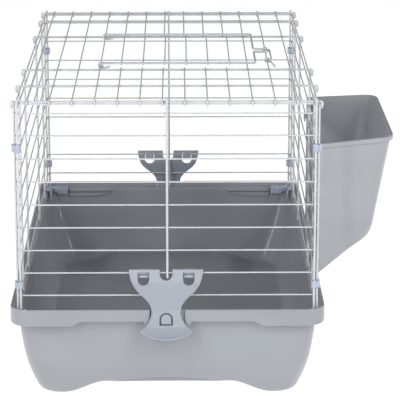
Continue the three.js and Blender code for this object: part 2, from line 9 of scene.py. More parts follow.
import bpy
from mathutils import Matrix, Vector


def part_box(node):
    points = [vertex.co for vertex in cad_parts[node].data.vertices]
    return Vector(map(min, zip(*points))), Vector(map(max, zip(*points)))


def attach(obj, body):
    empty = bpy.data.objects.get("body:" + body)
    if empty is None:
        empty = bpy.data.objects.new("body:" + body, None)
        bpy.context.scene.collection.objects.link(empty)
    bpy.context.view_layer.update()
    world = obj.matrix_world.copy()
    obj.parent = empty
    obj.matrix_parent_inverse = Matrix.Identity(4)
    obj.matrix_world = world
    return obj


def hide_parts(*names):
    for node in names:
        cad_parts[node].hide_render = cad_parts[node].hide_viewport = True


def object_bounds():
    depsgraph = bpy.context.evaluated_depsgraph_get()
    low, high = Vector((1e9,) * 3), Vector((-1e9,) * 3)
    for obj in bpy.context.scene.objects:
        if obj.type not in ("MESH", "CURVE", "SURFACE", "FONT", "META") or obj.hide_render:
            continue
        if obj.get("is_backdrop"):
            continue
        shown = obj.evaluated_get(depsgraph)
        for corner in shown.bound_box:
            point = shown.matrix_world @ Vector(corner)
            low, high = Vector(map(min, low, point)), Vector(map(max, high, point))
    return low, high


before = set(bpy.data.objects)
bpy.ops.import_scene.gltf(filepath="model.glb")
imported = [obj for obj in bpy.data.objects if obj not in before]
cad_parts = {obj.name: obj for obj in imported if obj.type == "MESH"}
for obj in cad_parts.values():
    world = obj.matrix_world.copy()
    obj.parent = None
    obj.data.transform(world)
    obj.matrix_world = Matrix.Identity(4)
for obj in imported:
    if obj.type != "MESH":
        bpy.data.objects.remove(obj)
CAD_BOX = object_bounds()
scene = bpy.context.scene

# ---- sizes shared with the frame ----
MM = 0.001
TRAY_LOW, TRAY_HIGH = (Vector(corner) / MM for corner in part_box("tray"))
PANEL_LOW, PANEL_HIGH = (Vector(corner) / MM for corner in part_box("front_panel"))
CENTRE_X = (TRAY_LOW.x + TRAY_HIGH.x) / 2
TRAY_HALF_X = (TRAY_HIGH.x - TRAY_LOW.x) / 2
PAD_PROUD = 1.5
TRAY_HALF_Y = TRAY_HIGH.y - PAD_PROUD
RIM_TOP = TRAY_HIGH.z
THICK = 1.8
THIN = 1.2
WELD = 0.5
GAP = 0.35
POST_OVER_BAR = 1.0
WELD_STEP = THICK + THIN - WELD
END_Y = -(PANEL_LOW.y + THICK + WELD_STEP)
SIDE_REACH = END_Y - 1
SIDE_POST_X = 230.0
SIDE_BAR_X = SIDE_POST_X - WELD_STEP
END_POST_X = SIDE_BAR_X - THICK - GAP
POST_FOOT_Z = PANEL_LOW.z
ROOF_Z = PANEL_HIGH.z + THICK + THIN + GAP - POST_OVER_BAR
TOP_BAR_Z = ROOF_Z - THICK - THIN - GAP
BAR_LOWEST = 169.5
BAR_PITCH = 36.0
EVEN_BARS = 8
BAR_LEVELS = [BAR_LOWEST + BAR_PITCH * row for row in range(EVEN_BARS)]
BAR_LEVELS += [ROOF_Z - BAR_PITCH / 2, TOP_BAR_Z]
# Where the side posts stand, as shares of the cage's length, then along it, and the two by the doorway.
STATION_SHARES = [0, 0.149, 0.314, 0.688, 0.889, 1]
STATIONS = [max(-SIDE_REACH, min(SIDE_REACH, (share * 2 - 1) * END_Y)) for share in STATION_SHARES]
DOORWAY_FRONT, DOORWAY_BACK = STATIONS[2:4]
ROOF_WIRE_Z = ROOF_Z + WELD_STEP
ROOF_WIRES = 13
ROOF_WIRE_PITCH = 33.95
ROOF_WIRE_SHIFT = -6.5
ROOF_WIRE_XS = [
    ROOF_WIRE_SHIFT + (index - (ROOF_WIRES - 1) / 2) * ROOF_WIRE_PITCH for index in range(ROOF_WIRES)
]
HINGE_WIRE = 3
CATCH_WIRE = 11
LATCH_Z = BAR_LOWEST + BAR_PITCH


def place(point):
    """A point in the cage's millimetres, as metres in the row frame."""
    x, y, z = point
    return Vector(((x + CENTRE_X) * MM, y * MM, z * MM))


def smooth_step(value):
    """Eases 0 to 1 in and out."""
    value = max(0.0, min(1.0, value))
    return value * value * (3 - 2 * value)


# ---- mesh helpers ----
class Builder:
    """Collects closed surfaces in millimetres and turns them into one piece."""

    def __init__(self, *parts):
        self.verts = []
        self.faces = []
        for part in parts:
            self.add(*part)

    def add(self, verts, faces):
        start = len(self.verts)
        self.verts.extend(verts)
        self.faces.extend([tuple(i + start for i in face) for face in faces])

    def half_turn(self):
        """Turns everything half a turn about the vertical axis."""
        self.verts = [(-x, -y, z) for x, y, z in self.verts]
        return self

    def piece(self, name, body, nodes, slot, material, sharp_angle=35):
        """Makes the object, on its body, in place of its nodes."""
        mesh = bpy.data.meshes.new(name)
        mesh.from_pydata([place(vert) for vert in self.verts], [], self.faces)
        mesh.validate()
        mesh.polygons.foreach_set("use_smooth", [True] * len(mesh.polygons))
        mesh.set_sharp_from_angle(angle=radians(sharp_angle))
        mesh.materials.append(material)
        mesh.update()
        obj = bpy.data.objects.new(name, mesh)
        scene.collection.objects.link(obj)
        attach(obj, body)
        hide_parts(*nodes)
        return obj


CORNER_SHARE = 0.45


def rounded(points, radius, steps=5):
    """A polyline with each inner corner turned into an arc-like curve."""
    points = [Vector(point) for point in points]
    path = [points[0]]
    for before, corner, after in zip(points, points[1:], points[2:]):
        shorter = min((corner - before).length, (after - corner).length)
        reach = min(radius, shorter * CORNER_SHARE)
        start = corner + (before - corner).normalized() * reach
        end = corner + (after - corner).normalized() * reach
        for step in range(steps + 1):
            t = step / steps
            path.append(start * (1 - t) ** 2 + corner * 2 * t * (1 - t) + end * t * t)
    path.append(points[-1])
    return path


def loft(rings):
    """Joins rings of equal length into one closed surface."""
    count = len(rings[0])
    verts = [tuple(point) for ring in rings for point in ring]
    faces = []
    for level in range(len(rings) - 1):
        for i in range(count):
            a = level * count + i
            b = level * count + (i + 1) % count
            faces.append((a, b, b + count, a + count))
    faces.append(tuple(reversed(range(count))))
    faces.append(tuple(range((len(rings) - 1) * count, len(rings) * count)))
    return verts, faces


# The domed end of a wire: [distance from its tip, size], as shares of the radius.
DOME = [(0, 0.55), (0.25, 0.9), (0.6, 1.0)]


def tangents(points):
    """The direction of a path at each of its points."""
    behind = points[:1] + points[:-1]
    ahead = points[1:] + points[-1:]
    return [(after - before).normalized() for before, after in zip(behind, ahead)]


def tube(path, radius, sides=12):
    """A round wire along a path, with softly domed ends."""
    path = [Vector(point) for point in path]
    first = (path[1] - path[0]).normalized()
    last = (path[-1] - path[-2]).normalized()
    stations = [(path[0] + first * radius * inset, size) for inset, size in DOME]
    stations += [(point, 1.0) for point in path[1:-1]]
    stations += [(path[-1] - last * radius * inset, size) for inset, size in reversed(DOME)]
    helper = Vector((1, 0, 0)) if abs(first.z) >= 0.9 else Vector((0, 0, 1))
    normal = first.cross(helper).normalized()
    rings = []
    previous = first
    for (point, size), along in zip(stations, tangents([point for point, size in stations])):
        normal = previous.rotation_difference(along) @ normal
        normal = (normal - along * normal.dot(along)).normalized()
        previous = along
        side = along.cross(normal)
        ring = []
        for corner in range(sides):
            angle = 2 * pi * corner / sides
            offset = normal * cos(angle) + side * sin(angle)
            ring.append(point + offset * radius * size)
        rings.append(ring)
    return loft(rings)


def bead(centre, size):
    """A small squashed ball, the fused metal where two wires are welded."""
    rows, columns = 4, 8
    points = [(0, 0, 1)]
    for row in range(1, rows):
        polar = pi * row / rows
        for column in range(columns):
            turn = 2 * pi * column / columns
            points.append((sin(polar) * cos(turn), sin(polar) * sin(turn), cos(polar)))
    points.append((0, 0, -1))
    verts = [tuple(c + s * p for c, s, p in zip(centre, size, point)) for point in points]
    faces = []
    for column in range(columns):
        after = (column + 1) % columns
        faces.append((0, 1 + column, 1 + after))
        for row in range(rows - 2):
            a = 1 + row * columns + column
            b = 1 + row * columns + after
            faces.append((a, a + columns, b + columns, b))
        low = 1 + (rows - 2) * columns
        faces.append((low + column, len(verts) - 1, low + after))
    return verts, faces


def drawn_in(outline, pull):
    """An outline with every point moved towards its middle along both axes."""
    middle_u = sum(u for u, v in outline) / len(outline)
    middle_v = sum(v for u, v in outline) / len(outline)
    return [(u - copysign(pull, u - middle_u), v - copysign(pull, v - middle_v)) for u, v in outline]


def thicken(obj, thickness, offset):
    """Gives a sheet its thickness; offset says on which side."""
    modifier = obj.modifiers.new("thickness", "SOLIDIFY")
    modifier.thickness = thickness * MM
    modifier.offset = offset


def with_extras(obj, extras):
    """A builder with an object's final mesh and more surfaces; the object itself is removed."""
    depsgraph = bpy.context.evaluated_depsgraph_get()
    baked = bpy.data.meshes.new_from_object(obj.evaluated_get(depsgraph))
    builder = Builder()
    for vertex in baked.vertices:
        x, y, z = (value / MM for value in vertex.co)
        builder.verts.append((x - CENTRE_X, y, z))
    builder.faces = [tuple(polygon.vertices) for polygon in baked.polygons]
    for part in extras:
        builder.add(*part)
    bpy.data.objects.remove(obj)
    return builder


# ---- materials ----
def set_inputs(tree, node, values):
    """Sets a node's inputs, each to a value or another node's output."""
    for name, value in values.items():
        if isinstance(value, bpy.types.NodeSocket):
            tree.links.new(value, node.inputs[name])
        else:
            node.inputs[name].default_value = value


def new_node(tree, kind, values):
    """A shader node with its inputs set."""
    node = tree.nodes.new("ShaderNode" + kind)
    set_inputs(tree, node, values)
    return node


def new_material(name, values):
    """A material, its node tree and its shader."""
    material = bpy.data.materials.new(name)
    material.use_nodes = True
    tree = material.node_tree
    shader = tree.nodes["Principled BSDF"]
    set_inputs(tree, shader, values)
    return material, tree, shader


def noise(tree, scale, detail, stretch=(1, 1, 1)):
    """Noise in object space, so it keeps its size on every piece."""
    place_on = new_node(tree, "TexCoord", {}).outputs["Object"]
    mapping = new_node(tree, "Mapping", {"Scale": stretch, "Vector": place_on})
    values = {"Scale": scale, "Detail": detail, "Vector": mapping.outputs["Vector"]}
    return new_node(tree, "TexNoise", values).outputs["Fac"]


def spread(tree, value, low, high, start=0.3, end=0.7):
    """Maps a texture's middle range onto low to high."""
    values = {"Value": value, "From Min": start, "From Max": end, "To Min": low, "To Max": high}
    return new_node(tree, "MapRange", values).outputs["Result"]


def tint(tree, factor, first, second):
    """A mix of two colours."""
    node = tree.nodes.new("ShaderNodeMix")
    node.data_type = "RGBA"
    set_inputs(tree, node, {"A": first, "B": second, "Factor": factor})
    return node.outputs["Result"]


def shade(colour, factor):
    """A colour made darker or lighter, with its alpha."""
    return (*(min(1, channel * factor) for channel in colour), 1)


def bump(tree, height, strength, distance):
    """A fine grain on the surface."""
    values = {"Height": height, "Strength": strength, "Distance": distance}
    return new_node(tree, "Bump", values).outputs["Normal"]


def moulded_plastic(name, colour, roughness, coat):
    """Injection-moulded plastic: faint flow tone, a painted highlight that makes convex edges paler, and a
    fine satin grain.
    """
    plain = {"Base Color": (*colour, 1), "Roughness": roughness, "Coat Weight": coat, "Coat Roughness": 0.1}
    material, tree, shader = new_material(name, plain)
    streaks = noise(tree, scale=5.0, detail=2.0, stretch=(1, 0.6, 2.2))
    flow = spread(tree, streaks, low=0.0, high=1.0)
    body = tint(tree, flow, shade(colour, 0.94), shade(colour, 1.05))
    # Painted highlight: convex edges, found by pointiness, are mixed towards a paler colour.
    edges = new_node(tree, "NewGeometry", {}).outputs["Pointiness"]
    edge_highlight = spread(tree, edges, low=0.0, high=0.35, start=0.52, end=0.62)
    rubbed = noise(tree, scale=38.0, detail=4.0, stretch=(1, 1, 0.35))
    set_inputs(tree, shader, {
        "Base Color": tint(tree, edge_highlight, body, shade(colour, 1.25)),
        "Roughness": spread(tree, rubbed, low=roughness - 0.05, high=roughness + 0.09),
        "Normal": bump(tree, noise(tree, scale=900.0, detail=2.0), strength=0.1, distance=0.0004),
    })
    return material


def coated_wire(name, colour):
    """Steel wire under a glossy pale coat, a little uneven where it pooled."""
    plain = {"Base Color": (*colour, 1), "Roughness": 0.3, "Coat Weight": 0.3, "Coat Roughness": 0.1}
    material, tree, shader = new_material(name, plain)
    pooled = spread(tree, noise(tree, scale=60.0, detail=3.0), low=0.0, high=1.0)
    set_inputs(tree, shader, {
        "Base Color": tint(tree, pooled, shade(colour, 0.9), shade(colour, 1)),
        "Roughness": spread(tree, noise(tree, scale=140.0, detail=2.0), low=0.22, high=0.42),
        "Normal": bump(tree, noise(tree, scale=420.0, detail=2.0), strength=0.15, distance=0.0003),
    })
    return material


tray_plastic = moulded_plastic("tray_plastic", (0.293, 0.311, 0.34), roughness=0.34, coat=0.35)
rack_plastic = moulded_plastic("rack_plastic", (0.3, 0.315, 0.341), roughness=0.36, coat=0.3)
latch_plastic = moulded_plastic("latch_plastic", (0.327, 0.356, 0.404), roughness=0.36, coat=0.3)
clip_plastic = moulded_plastic("clip_plastic", (0.38, 0.42, 0.52), roughness=0.26, coat=0.4)
wire_coat = coated_wire("wire_coat", (0.57, 0.588, 0.612))

# ---- tray ----
WALL = 2.5
FLOOR_LIFT = 18.0
ARCH_LIFT = 9.0
ARCH_HALF = 92.0
FOOT_INNER = 98.0
FOOT_LONG = 205.0
FOOT_SLOPE = 64.0
BLEND_HEIGHT = 64.0
LEDGE_Z = RIM_TOP - 9
SKIRT_LOW, SKIRT_HIGH = 122.8, 130.2
SKIRT_STEP_X, SKIRT_STEP_Y, SKIRT_STEP_RUN = 133.5, 283.0, 13.0
EAR_INNER, EAR_OUTER, EAR_LOW = 27.9, 36.3, 124.8
SEAT_HALF, SEAT_DEPTH, SEAT_FADE = 26.9, 2.8, 12.0
RIM_RADIUS = 30.0
FLANGE_RADIUS = 28.0
FLOOR_RADIUS = 31.0
CORNER_STEPS = 10
# Where points fall along a straight side at the rim, from its middle to a corner.
END_STOPS = [0, 9, 18, 25.2, 26.4, 27.4, 28.4, 35.8, 36.8, 39, *range(50, 121, 10), 128, 132.5, 134, 136]
END_STOPS += [139, 142, 144.5, 146.5, 149, 156, 167, 179, 191, 203]
SIDE_STOPS = [*range(0, 271, 15), 279, 282.5, 284, 288, 292, 295, 297, 300, 312, 325, 338, 350]
# [inset, height, plan radius] up the outside of the body.
BODY_CURVE = [
    (46, 0, 31), (43.6, 0.5, 32), (41.6, 1.8, 33), (39.8, 4, 34), (38, 7, 35), (36.2, 10.6, 36),
    (34.3, 15, 37), (32, 20.5, 37.5), (29.6, 27, 37.5), (27.3, 34.5, 37), (24.8, 43, 36),
    (22.6, 52, 34.5), (20.6, 62, 33), (18.6, 74, 31), (16.9, 87, 29), (15.5, 100, 26.5),
    (14.4, 113, 23), (13.6, 126, 19.5), (13.5, 136, 18),
]
# The same rings where an end wall is arched: [inset, share of the arch's height].
ARCH_CURVE = [(46, 0.0), (43.4, 0.03), (42.3, 0.12), (41.6, 0.5), (41.2, 0.94), (36.4, 1.0)]
BLEND_RINGS = 4
ARCH_EDGE = 2.5
# Distances inside the rim of the rings across the underside and the floor.
UNDERSIDE_INSETS = [243.4, 225, 205, 185, 165, 148, 134, 122, 110, 100, 92, 84, 77, 70, 64, 58, 51]
FLOOR_INSETS = [53, 58, 64, 71, 78, 86, 95, 105, 115, 127, 140, 155, 172, 190, 210, 228, 243.4]
FLANGE_Z = LEDGE_Z - WALL
# [inset, height] out under the ledge, then drops and rises over the rim and back to the body.
FLANGE_LEVELS = [(13, FLANGE_Z - 0.7), (11.5, FLANGE_Z), (4.5, FLANGE_Z), (3, FLANGE_Z - 1)]
RIM_DROPS = [(0, 1.8), (0.25, 0.7), (0.8, 0.15), (1.3, 0), (1.9, 0.2), (2.4, 0.8), (2.6, 2)]
LEDGE_RISES = [(2.8, 1.6), (3.4, 0.4), (4.6, 0), (9, 0), (13, 0), (14.6, -0.5), (15.6, -1.6)]
RIM_LEVELS = [(0, 137), *((inset, RIM_TOP - drop) for inset, drop in RIM_DROPS)]
RIM_LEVELS += [(inset, LEDGE_Z + rise) for inset, rise in LEDGE_RISES]
# [inset, rise] round the skirt's lower edge, from inside to outside.
SKIRT_LEVELS = [(2.5, 6), (2.4, 0.9), (2.1, 0.2), (1.6, 0), (1.0, 0.4), (0.45, 1.3), (0.1, 2.5), (0, 4.2)]
# A wall owns the points this close to its outer face.
WALL_BAND = 30.0
STUDS_X, STUD_INSET, STUD_Z, STUD_SIZE = (139, 206), 16.8, 118, (2.2, 1.3, 2.2)
SHELF_INSET = 16.1
# Each shelf part's outline in X and Z, and how far it stands out.
SHELF_PARTS = (
    ([(188, 132.4), (111, 132.4), (138, 125), (188, 125)], 4.0),
    ([(188, 137.6), (109, 137.6), (109, 134.8), (188, 134.8)], 5.0),
)


def rim_ring(inset, radius):
    """Points round the tray at a distance inside the rim's outer face."""
    half_x = max(TRAY_HALF_X - inset, 0.1)
    half_y = TRAY_HALF_Y - inset
    radius = min(radius, half_x * 0.9)
    ring = []
    corners = [(1, 1, 0), (-1, 1, 90), (-1, -1, 180), (1, -1, 270)]
    for index, (sign_x, sign_y, turn) in enumerate(corners):
        centre = (sign_x * (half_x - radius), sign_y * (half_y - radius))
        for step in range(CORNER_STEPS + 1):
            angle = radians(turn + 90 * step / CORNER_STEPS)
            ring.append((centre[0] + radius * cos(angle), centre[1] + radius * sin(angle)))
        along_x = index % 2 == 0
        stops = END_STOPS if along_x else SIDE_STOPS
        half, rim_half = (half_x, TRAY_HALF_X) if along_x else (half_y, TRAY_HALF_Y)
        scale = (half - radius) / (rim_half - RIM_RADIUS)
        places = [stop * scale for stop in reversed(stops)] + [-stop * scale for stop in stops[1:]]
        for spot in places:
            ring.append((spot * sign_y, half_y * sign_y) if along_x else (half_x * sign_x, spot * sign_y))
    return ring


def floor_lift(x, y):
    """How far the underside stands above the feet."""
    across = smooth_step((abs(x) - FOOT_INNER) / FOOT_SLOPE)
    along = smooth_step((abs(y) - FOOT_LONG) / FOOT_SLOPE)
    return FLOOR_LIFT * (1 - across * along)


def body_height(x, y, z):
    """Lifts the lower part of the body between the feet."""
    if z >= BLEND_HEIGHT:
        return z
    lift = floor_lift(x, y)
    return lift + z * (1 - lift / BLEND_HEIGHT)


def body_ring(index, wall):
    """One ring up the body, arched at each end; wall moves it to the inside."""
    inset, height, radius = BODY_CURVE[index]
    rise = wall if height < BLEND_HEIGHT else 0
    ring = []
    for x, y in rim_ring(inset + wall, radius):
        z = body_height(x, y, height)
        arch = ARCH_LIFT * (1 - (x / ARCH_HALF) ** 2)
        on_end = abs(y) > TRAY_HALF_Y - inset - wall - 1
        last = len(ARCH_CURVE) - 1
        if on_end and arch > 0 and index <= last + BLEND_RINGS:
            share = smooth_step(arch / ARCH_EDGE)
            if index <= last:
                arch_inset, arch_share = ARCH_CURVE[index]
                z += (FLOOR_LIFT + arch * arch_share - z) * share
                y -= copysign((arch_inset - inset) * share, y)
            else:
                above = (index - last) / (BLEND_RINGS + 1)
                edge = FLOOR_LIFT + arch
                top = body_height(x, y, BODY_CURVE[last + BLEND_RINGS + 1][1])
                z += (edge + (top - edge) * above - z) * share
        ring.append((x, y, z + rise))
    return ring


def skirt_bottom(x, y):
    """The skirt hangs lower near the corners, past a short slope, and in two ears by each latch."""
    on_end = abs(y) > TRAY_HALF_Y - WALL_BAND
    on_side = abs(x) > TRAY_HALF_X - WALL_BAND
    if on_end and EAR_INNER < abs(x) < EAR_OUTER:
        return EAR_LOW
    if on_end and on_side:
        return SKIRT_LOW
    past_step = abs(x) - SKIRT_STEP_X if on_end else abs(y) - SKIRT_STEP_Y
    drop = max(0.0, min(1.0, past_step / SKIRT_STEP_RUN))
    return SKIRT_HIGH + (SKIRT_LOW - SKIRT_HIGH) * drop


def make_tray():
    """The tray as one closed surface, from the underside's middle out over the rim to the floor's."""
    rings = []

    def level(inset, radius, height, seated=False):
        """Adds a ring; a seated one is pushed in where each latch rests."""
        ring = []
        for x, y in rim_ring(inset, radius):
            pushed = 0
            if seated and abs(y) > TRAY_HALF_Y - WALL_BAND:
                pushed = SEAT_DEPTH * max(0.0, 1 - inset / SEAT_FADE) * smooth_step(SEAT_HALF - abs(x))
            ring.append((x, y - copysign(pushed, y), height(x, y)))
        rings.append(ring)

    for inset in UNDERSIDE_INSETS:
        level(inset, FLOOR_RADIUS, lambda x, y: body_height(x, y, 0))
    rings.extend(body_ring(index, 0) for index in range(len(BODY_CURVE)))
    for inset, z in FLANGE_LEVELS:
        level(inset, FLANGE_RADIUS, lambda x, y, z=z: z)
    for inset, rise in SKIRT_LEVELS:
        level(inset, RIM_RADIUS, lambda x, y, rise=rise: skirt_bottom(x, y) + rise, seated=True)
    for inset, z in RIM_LEVELS:
        level(inset, RIM_RADIUS - inset * 0.9, lambda x, y, z=z: z, seated=True)
    rings.extend(body_ring(index, WALL) for index in reversed(range(len(BODY_CURVE))))
    for inset in FLOOR_INSETS:
        level(inset, FLOOR_RADIUS, lambda x, y: body_height(x, y, 0) + WALL)

    tray = Builder(loft(rings))
    for sign_y in (-1, 1):
        for sign_x in (-1, 1):
            for part in corner_shelf(sign_x, sign_y):
                tray.add(*part)
            for x in STUDS_X:
                tray.add(*bead((sign_x * x, sign_y * (TRAY_HALF_Y - STUD_INSET), STUD_Z), STUD_SIZE))
    tray.piece("tray_shell", "cage", ["tray"], "tray_plastic", tray_plastic, 40)


def corner_shelf(sign_x, sign_y):
    """A lip and a shallow shelf under it beside each corner, on the inside of the end wall."""
    face = TRAY_HALF_Y - SHELF_INSET
    parts = []
    for corners, proud in SHELF_PARTS:
        outline = [(sign_x * x, z) for x, z in corners]
        if sign_x * sign_y < 0:
            outline.reverse()
        rings = []
        for out, pull in ((0.8, 0), (0.6 - proud, 0), (0.1 - proud, 0.3), (-proud, 0.8)):
            rings.append([(x, sign_y * (face + out), z) for x, z in drawn_in(outline, pull)])
        parts.append(loft(rings))
    return parts


# ---- wire panels ----
POST_TIP_Z = 479.0
MIDDLE_POST_FOOT = LATCH_Z - 8
POST_BEND_Z = TOP_BAR_Z - 8
# How a post's tip leans past its bend: [distance from the bars' side, height].
OUTER_POST_TIP = [(1.5, TOP_BAR_Z + 3), (1.7, POST_TIP_Z)]
INNER_POST_TIP = [(2.3, TOP_BAR_Z - 1), (2.5, POST_TIP_Z)]
SIDE_POST_TOP = TOP_BAR_Z + 0.5
BAR_OVERHANG = 0.6
# Weld beads, longer along the thick wire.
END_BEAD = (1.7, 0.9, 1.5)
SIDE_BEAD = (0.9, 1.7, 1.5)
ROOF_BEAD = (1.5, 1.7, 0.9)
ROOF_HOOK_X = SIDE_POST_X + 2 * THICK + GAP + 0.2
# A cross wire's hook over a side panel: [inwards, down from the roof].
ROOF_HOOK = [(1.6, 10.5), (0, 7.5), (0, 0)]
ROOF_HOOK_BEND = 4.2
ROOF_CURL_Y = END_Y + THIN + 2.2
ROOF_CURL_Z = TOP_BAR_Z - 3.1
ROOF_CURL_TUCK = 4.4
ROOF_CURL_BEND = 2.2
DOORWAY_STUB = 3.0


def end_panel(post_inside):
    """Bars, two corner posts and a middle post, short outside the bars or long inside them."""
    builder = Builder()
    reach = END_POST_X + BAR_OVERHANG
    for z in BAR_LEVELS:
        builder.add(*tube([(-reach, -END_Y, z), (reach, -END_Y, z)], THIN))
    middle = (0, POST_FOOT_Z, 1) if post_inside else (0, MIDDLE_POST_FOOT, -1)
    for x, foot, side in ((-END_POST_X, POST_FOOT_Z, -1), middle, (END_POST_X, POST_FOOT_Z, -1)):
        y = -END_Y + side * WELD_STEP
        tip = INNER_POST_TIP if side > 0 else OUTER_POST_TIP
        leaning = [(x, y + side * out, z) for out, z in tip]
        builder.add(*tube([(x, y, foot), (x, y, POST_BEND_Z), *leaning], THICK))
        for z in BAR_LEVELS:
            if z > foot:
                builder.add(*bead((x, -END_Y + side * THIN, z), END_BEAD))
    return builder


def side_panel(side):
    """Horizontal bars with a post at each station."""
    builder = Builder()
    bar_x = side * SIDE_BAR_X
    post_x = side * SIDE_POST_X
    reach = SIDE_REACH + BAR_OVERHANG
    for z in BAR_LEVELS:
        builder.add(*tube([(bar_x, -reach, z), (bar_x, reach, z)], THIN))
    for y in STATIONS:
        builder.add(*tube([(post_x, y, POST_FOOT_Z), (post_x, y, SIDE_POST_TOP)], THICK))
        for z in BAR_LEVELS:
            builder.add(*bead((side * (SIDE_BAR_X + THIN), y, z), SIDE_BEAD))
    return builder


def roof_panel():
    """Cross wires hooked over the side panels and lengthwise wires curled over the ends."""
    builder = Builder()
    for y in STATIONS:
        right = [(ROOF_HOOK_X - inwards, y, ROOF_Z - down) for inwards, down in ROOF_HOOK]
        left = [(-x, y, z) for x, y, z in reversed(right)]
        builder.add(*tube(rounded(right + left, ROOF_HOOK_BEND), THICK))
    curl = [
        (ROOF_CURL_Y - ROOF_CURL_TUCK, ROOF_CURL_Z), (ROOF_CURL_Y, ROOF_CURL_Z), (ROOF_CURL_Y, ROOF_WIRE_Z),
    ]
    for index, x in enumerate(ROOF_WIRE_XS):
        front = [(x, -y, z) for y, z in curl]
        back = [(x, y, z) for y, z in reversed(curl)]
        wires = [front + back]
        if HINGE_WIRE < index < CATCH_WIRE - 1:
            front_end = (x, DOORWAY_FRONT + DOORWAY_STUB, ROOF_WIRE_Z)
            back_end = (x, DOORWAY_BACK - DOORWAY_STUB, ROOF_WIRE_Z)
            wires = [front + [front_end], [back_end] + back]
        for wire in wires:
            builder.add(*tube(rounded(wire, ROOF_CURL_BEND), THIN))
        for y in STATIONS:
            builder.add(*bead((x, y, ROOF_Z + THICK), ROOF_BEAD))
    return builder


COIL_STEPS = 18
COIL_GAP = 0.15


def coil(centre, radius, turns, start, pitch):
    """Points of a wire coiled about a lengthwise axis; a negative pitch runs towards the front."""
    x, y, z = centre
    steps = round(turns * COIL_STEPS)
    points = []
    for step in range(steps + 1):
        t = step / steps
        angle = radians(start) + turns * 2 * pi * t
        along = pitch * turns * t
        points.append((x + radius * cos(angle), y + along, z + radius * sin(angle)))
    return points


DOOR_FRONT = -END_Y + 262
DOOR_BACK = -END_Y + 509
DOOR_LEFT = ROOF_WIRE_XS[HINGE_WIRE]
DOOR_RIGHT = 143.0
DOOR_BEND = 5.5
DOOR_BARS = 6
DOOR_BAR_PITCH = 35.2
DOOR_FIRST_BAR = 0.95
DOOR_BAR_OVERHANG = 2.5
TONGUE_X = 166.5
TONGUE_HALF = 11.5
TONGUE_Y = (DOOR_FRONT + DOOR_BACK) / 2 - 20
DOOR_WIRE_Z = ROOF_WIRE_Z + THIN + THICK + GAP
HINGE_RADIUS = THIN + GAP + THICK
HINGE_TURNS = 1.5
HINGE_EXIT = 6.0
# The door wire's ends past their coils: right, towards the front, and up.
HINGE_TAIL = [(4, 0.5, 0.2), (8, 1.4, 0.8), (12, 1.8, 1.8), (15.5, 1.2, 3.0)]


def hinge_end(y):
    """The door wire's coil on the hinge wire at one end of the door, and the tail after it."""
    pitch = 2 * THICK + COIL_GAP
    points = coil((DOOR_LEFT, y, ROOF_WIRE_Z), HINGE_RADIUS, HINGE_TURNS, start=90, pitch=-pitch)
    tail_y = y - HINGE_TURNS * pitch
    low = ROOF_WIRE_Z - HINGE_RADIUS
    return points + [(DOOR_LEFT + right, tail_y - front, low + up) for right, front, up in HINGE_TAIL]


def roof_door():
    """One bent frame wire coiled on the hinge wire at both ends, with six bars under it."""
    z = DOOR_WIRE_Z
    left = DOOR_LEFT + HINGE_EXIT
    tongue_front, tongue_back = TONGUE_Y - TONGUE_HALF, TONGUE_Y + TONGUE_HALF
    corners = [
        (left, DOOR_FRONT, z), (DOOR_RIGHT, DOOR_FRONT, z), (DOOR_RIGHT, tongue_front, z),
        (TONGUE_X, tongue_front, z), (TONGUE_X, tongue_back, z), (DOOR_RIGHT, tongue_back, z),
        (DOOR_RIGHT, DOOR_BACK, z), (left, DOOR_BACK, z),
    ]
    path = list(reversed(hinge_end(DOOR_FRONT))) + rounded(corners, DOOR_BEND) + hinge_end(DOOR_BACK)
    builder = Builder(tube(path, THICK))
    bar_z = z - WELD_STEP
    front, back = DOOR_FRONT - DOOR_BAR_OVERHANG, DOOR_BACK + DOOR_BAR_OVERHANG
    for bar in range(DOOR_BARS):
        x = DOOR_LEFT + (bar + DOOR_FIRST_BAR) * DOOR_BAR_PITCH
        builder.add(*tube([(x, front, bar_z), (x, back, bar_z)], THIN))
        for y in (DOOR_FRONT, DOOR_BACK):
            builder.add(*bead((x, y, z - THICK), ROOF_BEAD))
    return builder


CATCH_X = ROOF_WIRE_XS[CATCH_WIRE]
CATCH_THICK = THIN + 0.3
CATCH_RADIUS = THIN + 0.5 + CATCH_THICK
CATCH_PITCH = 2 * CATCH_THICK + COIL_GAP
CATCH_OUT = CATCH_X + THIN + GAP + 5.9
CATCH_FRONT = TONGUE_Y - 60
CATCH_BACK = TONGUE_Y + 26
CATCH_BEND = 4


def door_catch():
    """A bent wire coiled twice on a roof wire, with a bow that swings over the door's tongue."""
    z = ROOF_WIRE_Z
    near_x, low = CATCH_X + 1, ROOF_WIRE_Z - CATCH_RADIUS
    back_coil = coil((CATCH_X, CATCH_BACK, z), CATCH_RADIUS, turns=1.25, start=-90, pitch=CATCH_PITCH)
    front_coil = coil((CATCH_X, CATCH_FRONT, z), CATCH_RADIUS, turns=1.0, start=-90, pitch=-CATCH_PITCH)
    bow = [
        (near_x, CATCH_BACK, low), (CATCH_OUT - 1, CATCH_BACK, z - 0.6), (CATCH_OUT, CATCH_BACK - 8, z),
        (CATCH_OUT, CATCH_FRONT + 8, z), (CATCH_OUT - 1, CATCH_FRONT, z - 0.6), (near_x, CATCH_FRONT, low),
    ]
    tail_y = CATCH_FRONT - CATCH_PITCH
    tail = [(near_x, tail_y, low), (CATCH_X + 5.5, tail_y - 14, z), (CATCH_X + 11, tail_y - 55, z)]
    path = list(reversed(back_coil)) + rounded(bow, CATCH_BEND) + front_coil + rounded(tail, CATCH_BEND)
    return Builder(tube(path, CATCH_THICK))


# ---- tray latches ----
LATCH_TOP = LATCH_Z + 6
LATCH_THICK = 3.0
PLATE_OUT = THIN + GAP + LATCH_THICK / 2
SEAT_OUT = TRAY_HALF_Y - END_Y + PAD_PROUD + GAP + LATCH_THICK / 2
BEND_TOP, BEND_PULL, BEND_LOW = 190.0, 158.0, 149.0
BEND_TUCK = 2.0
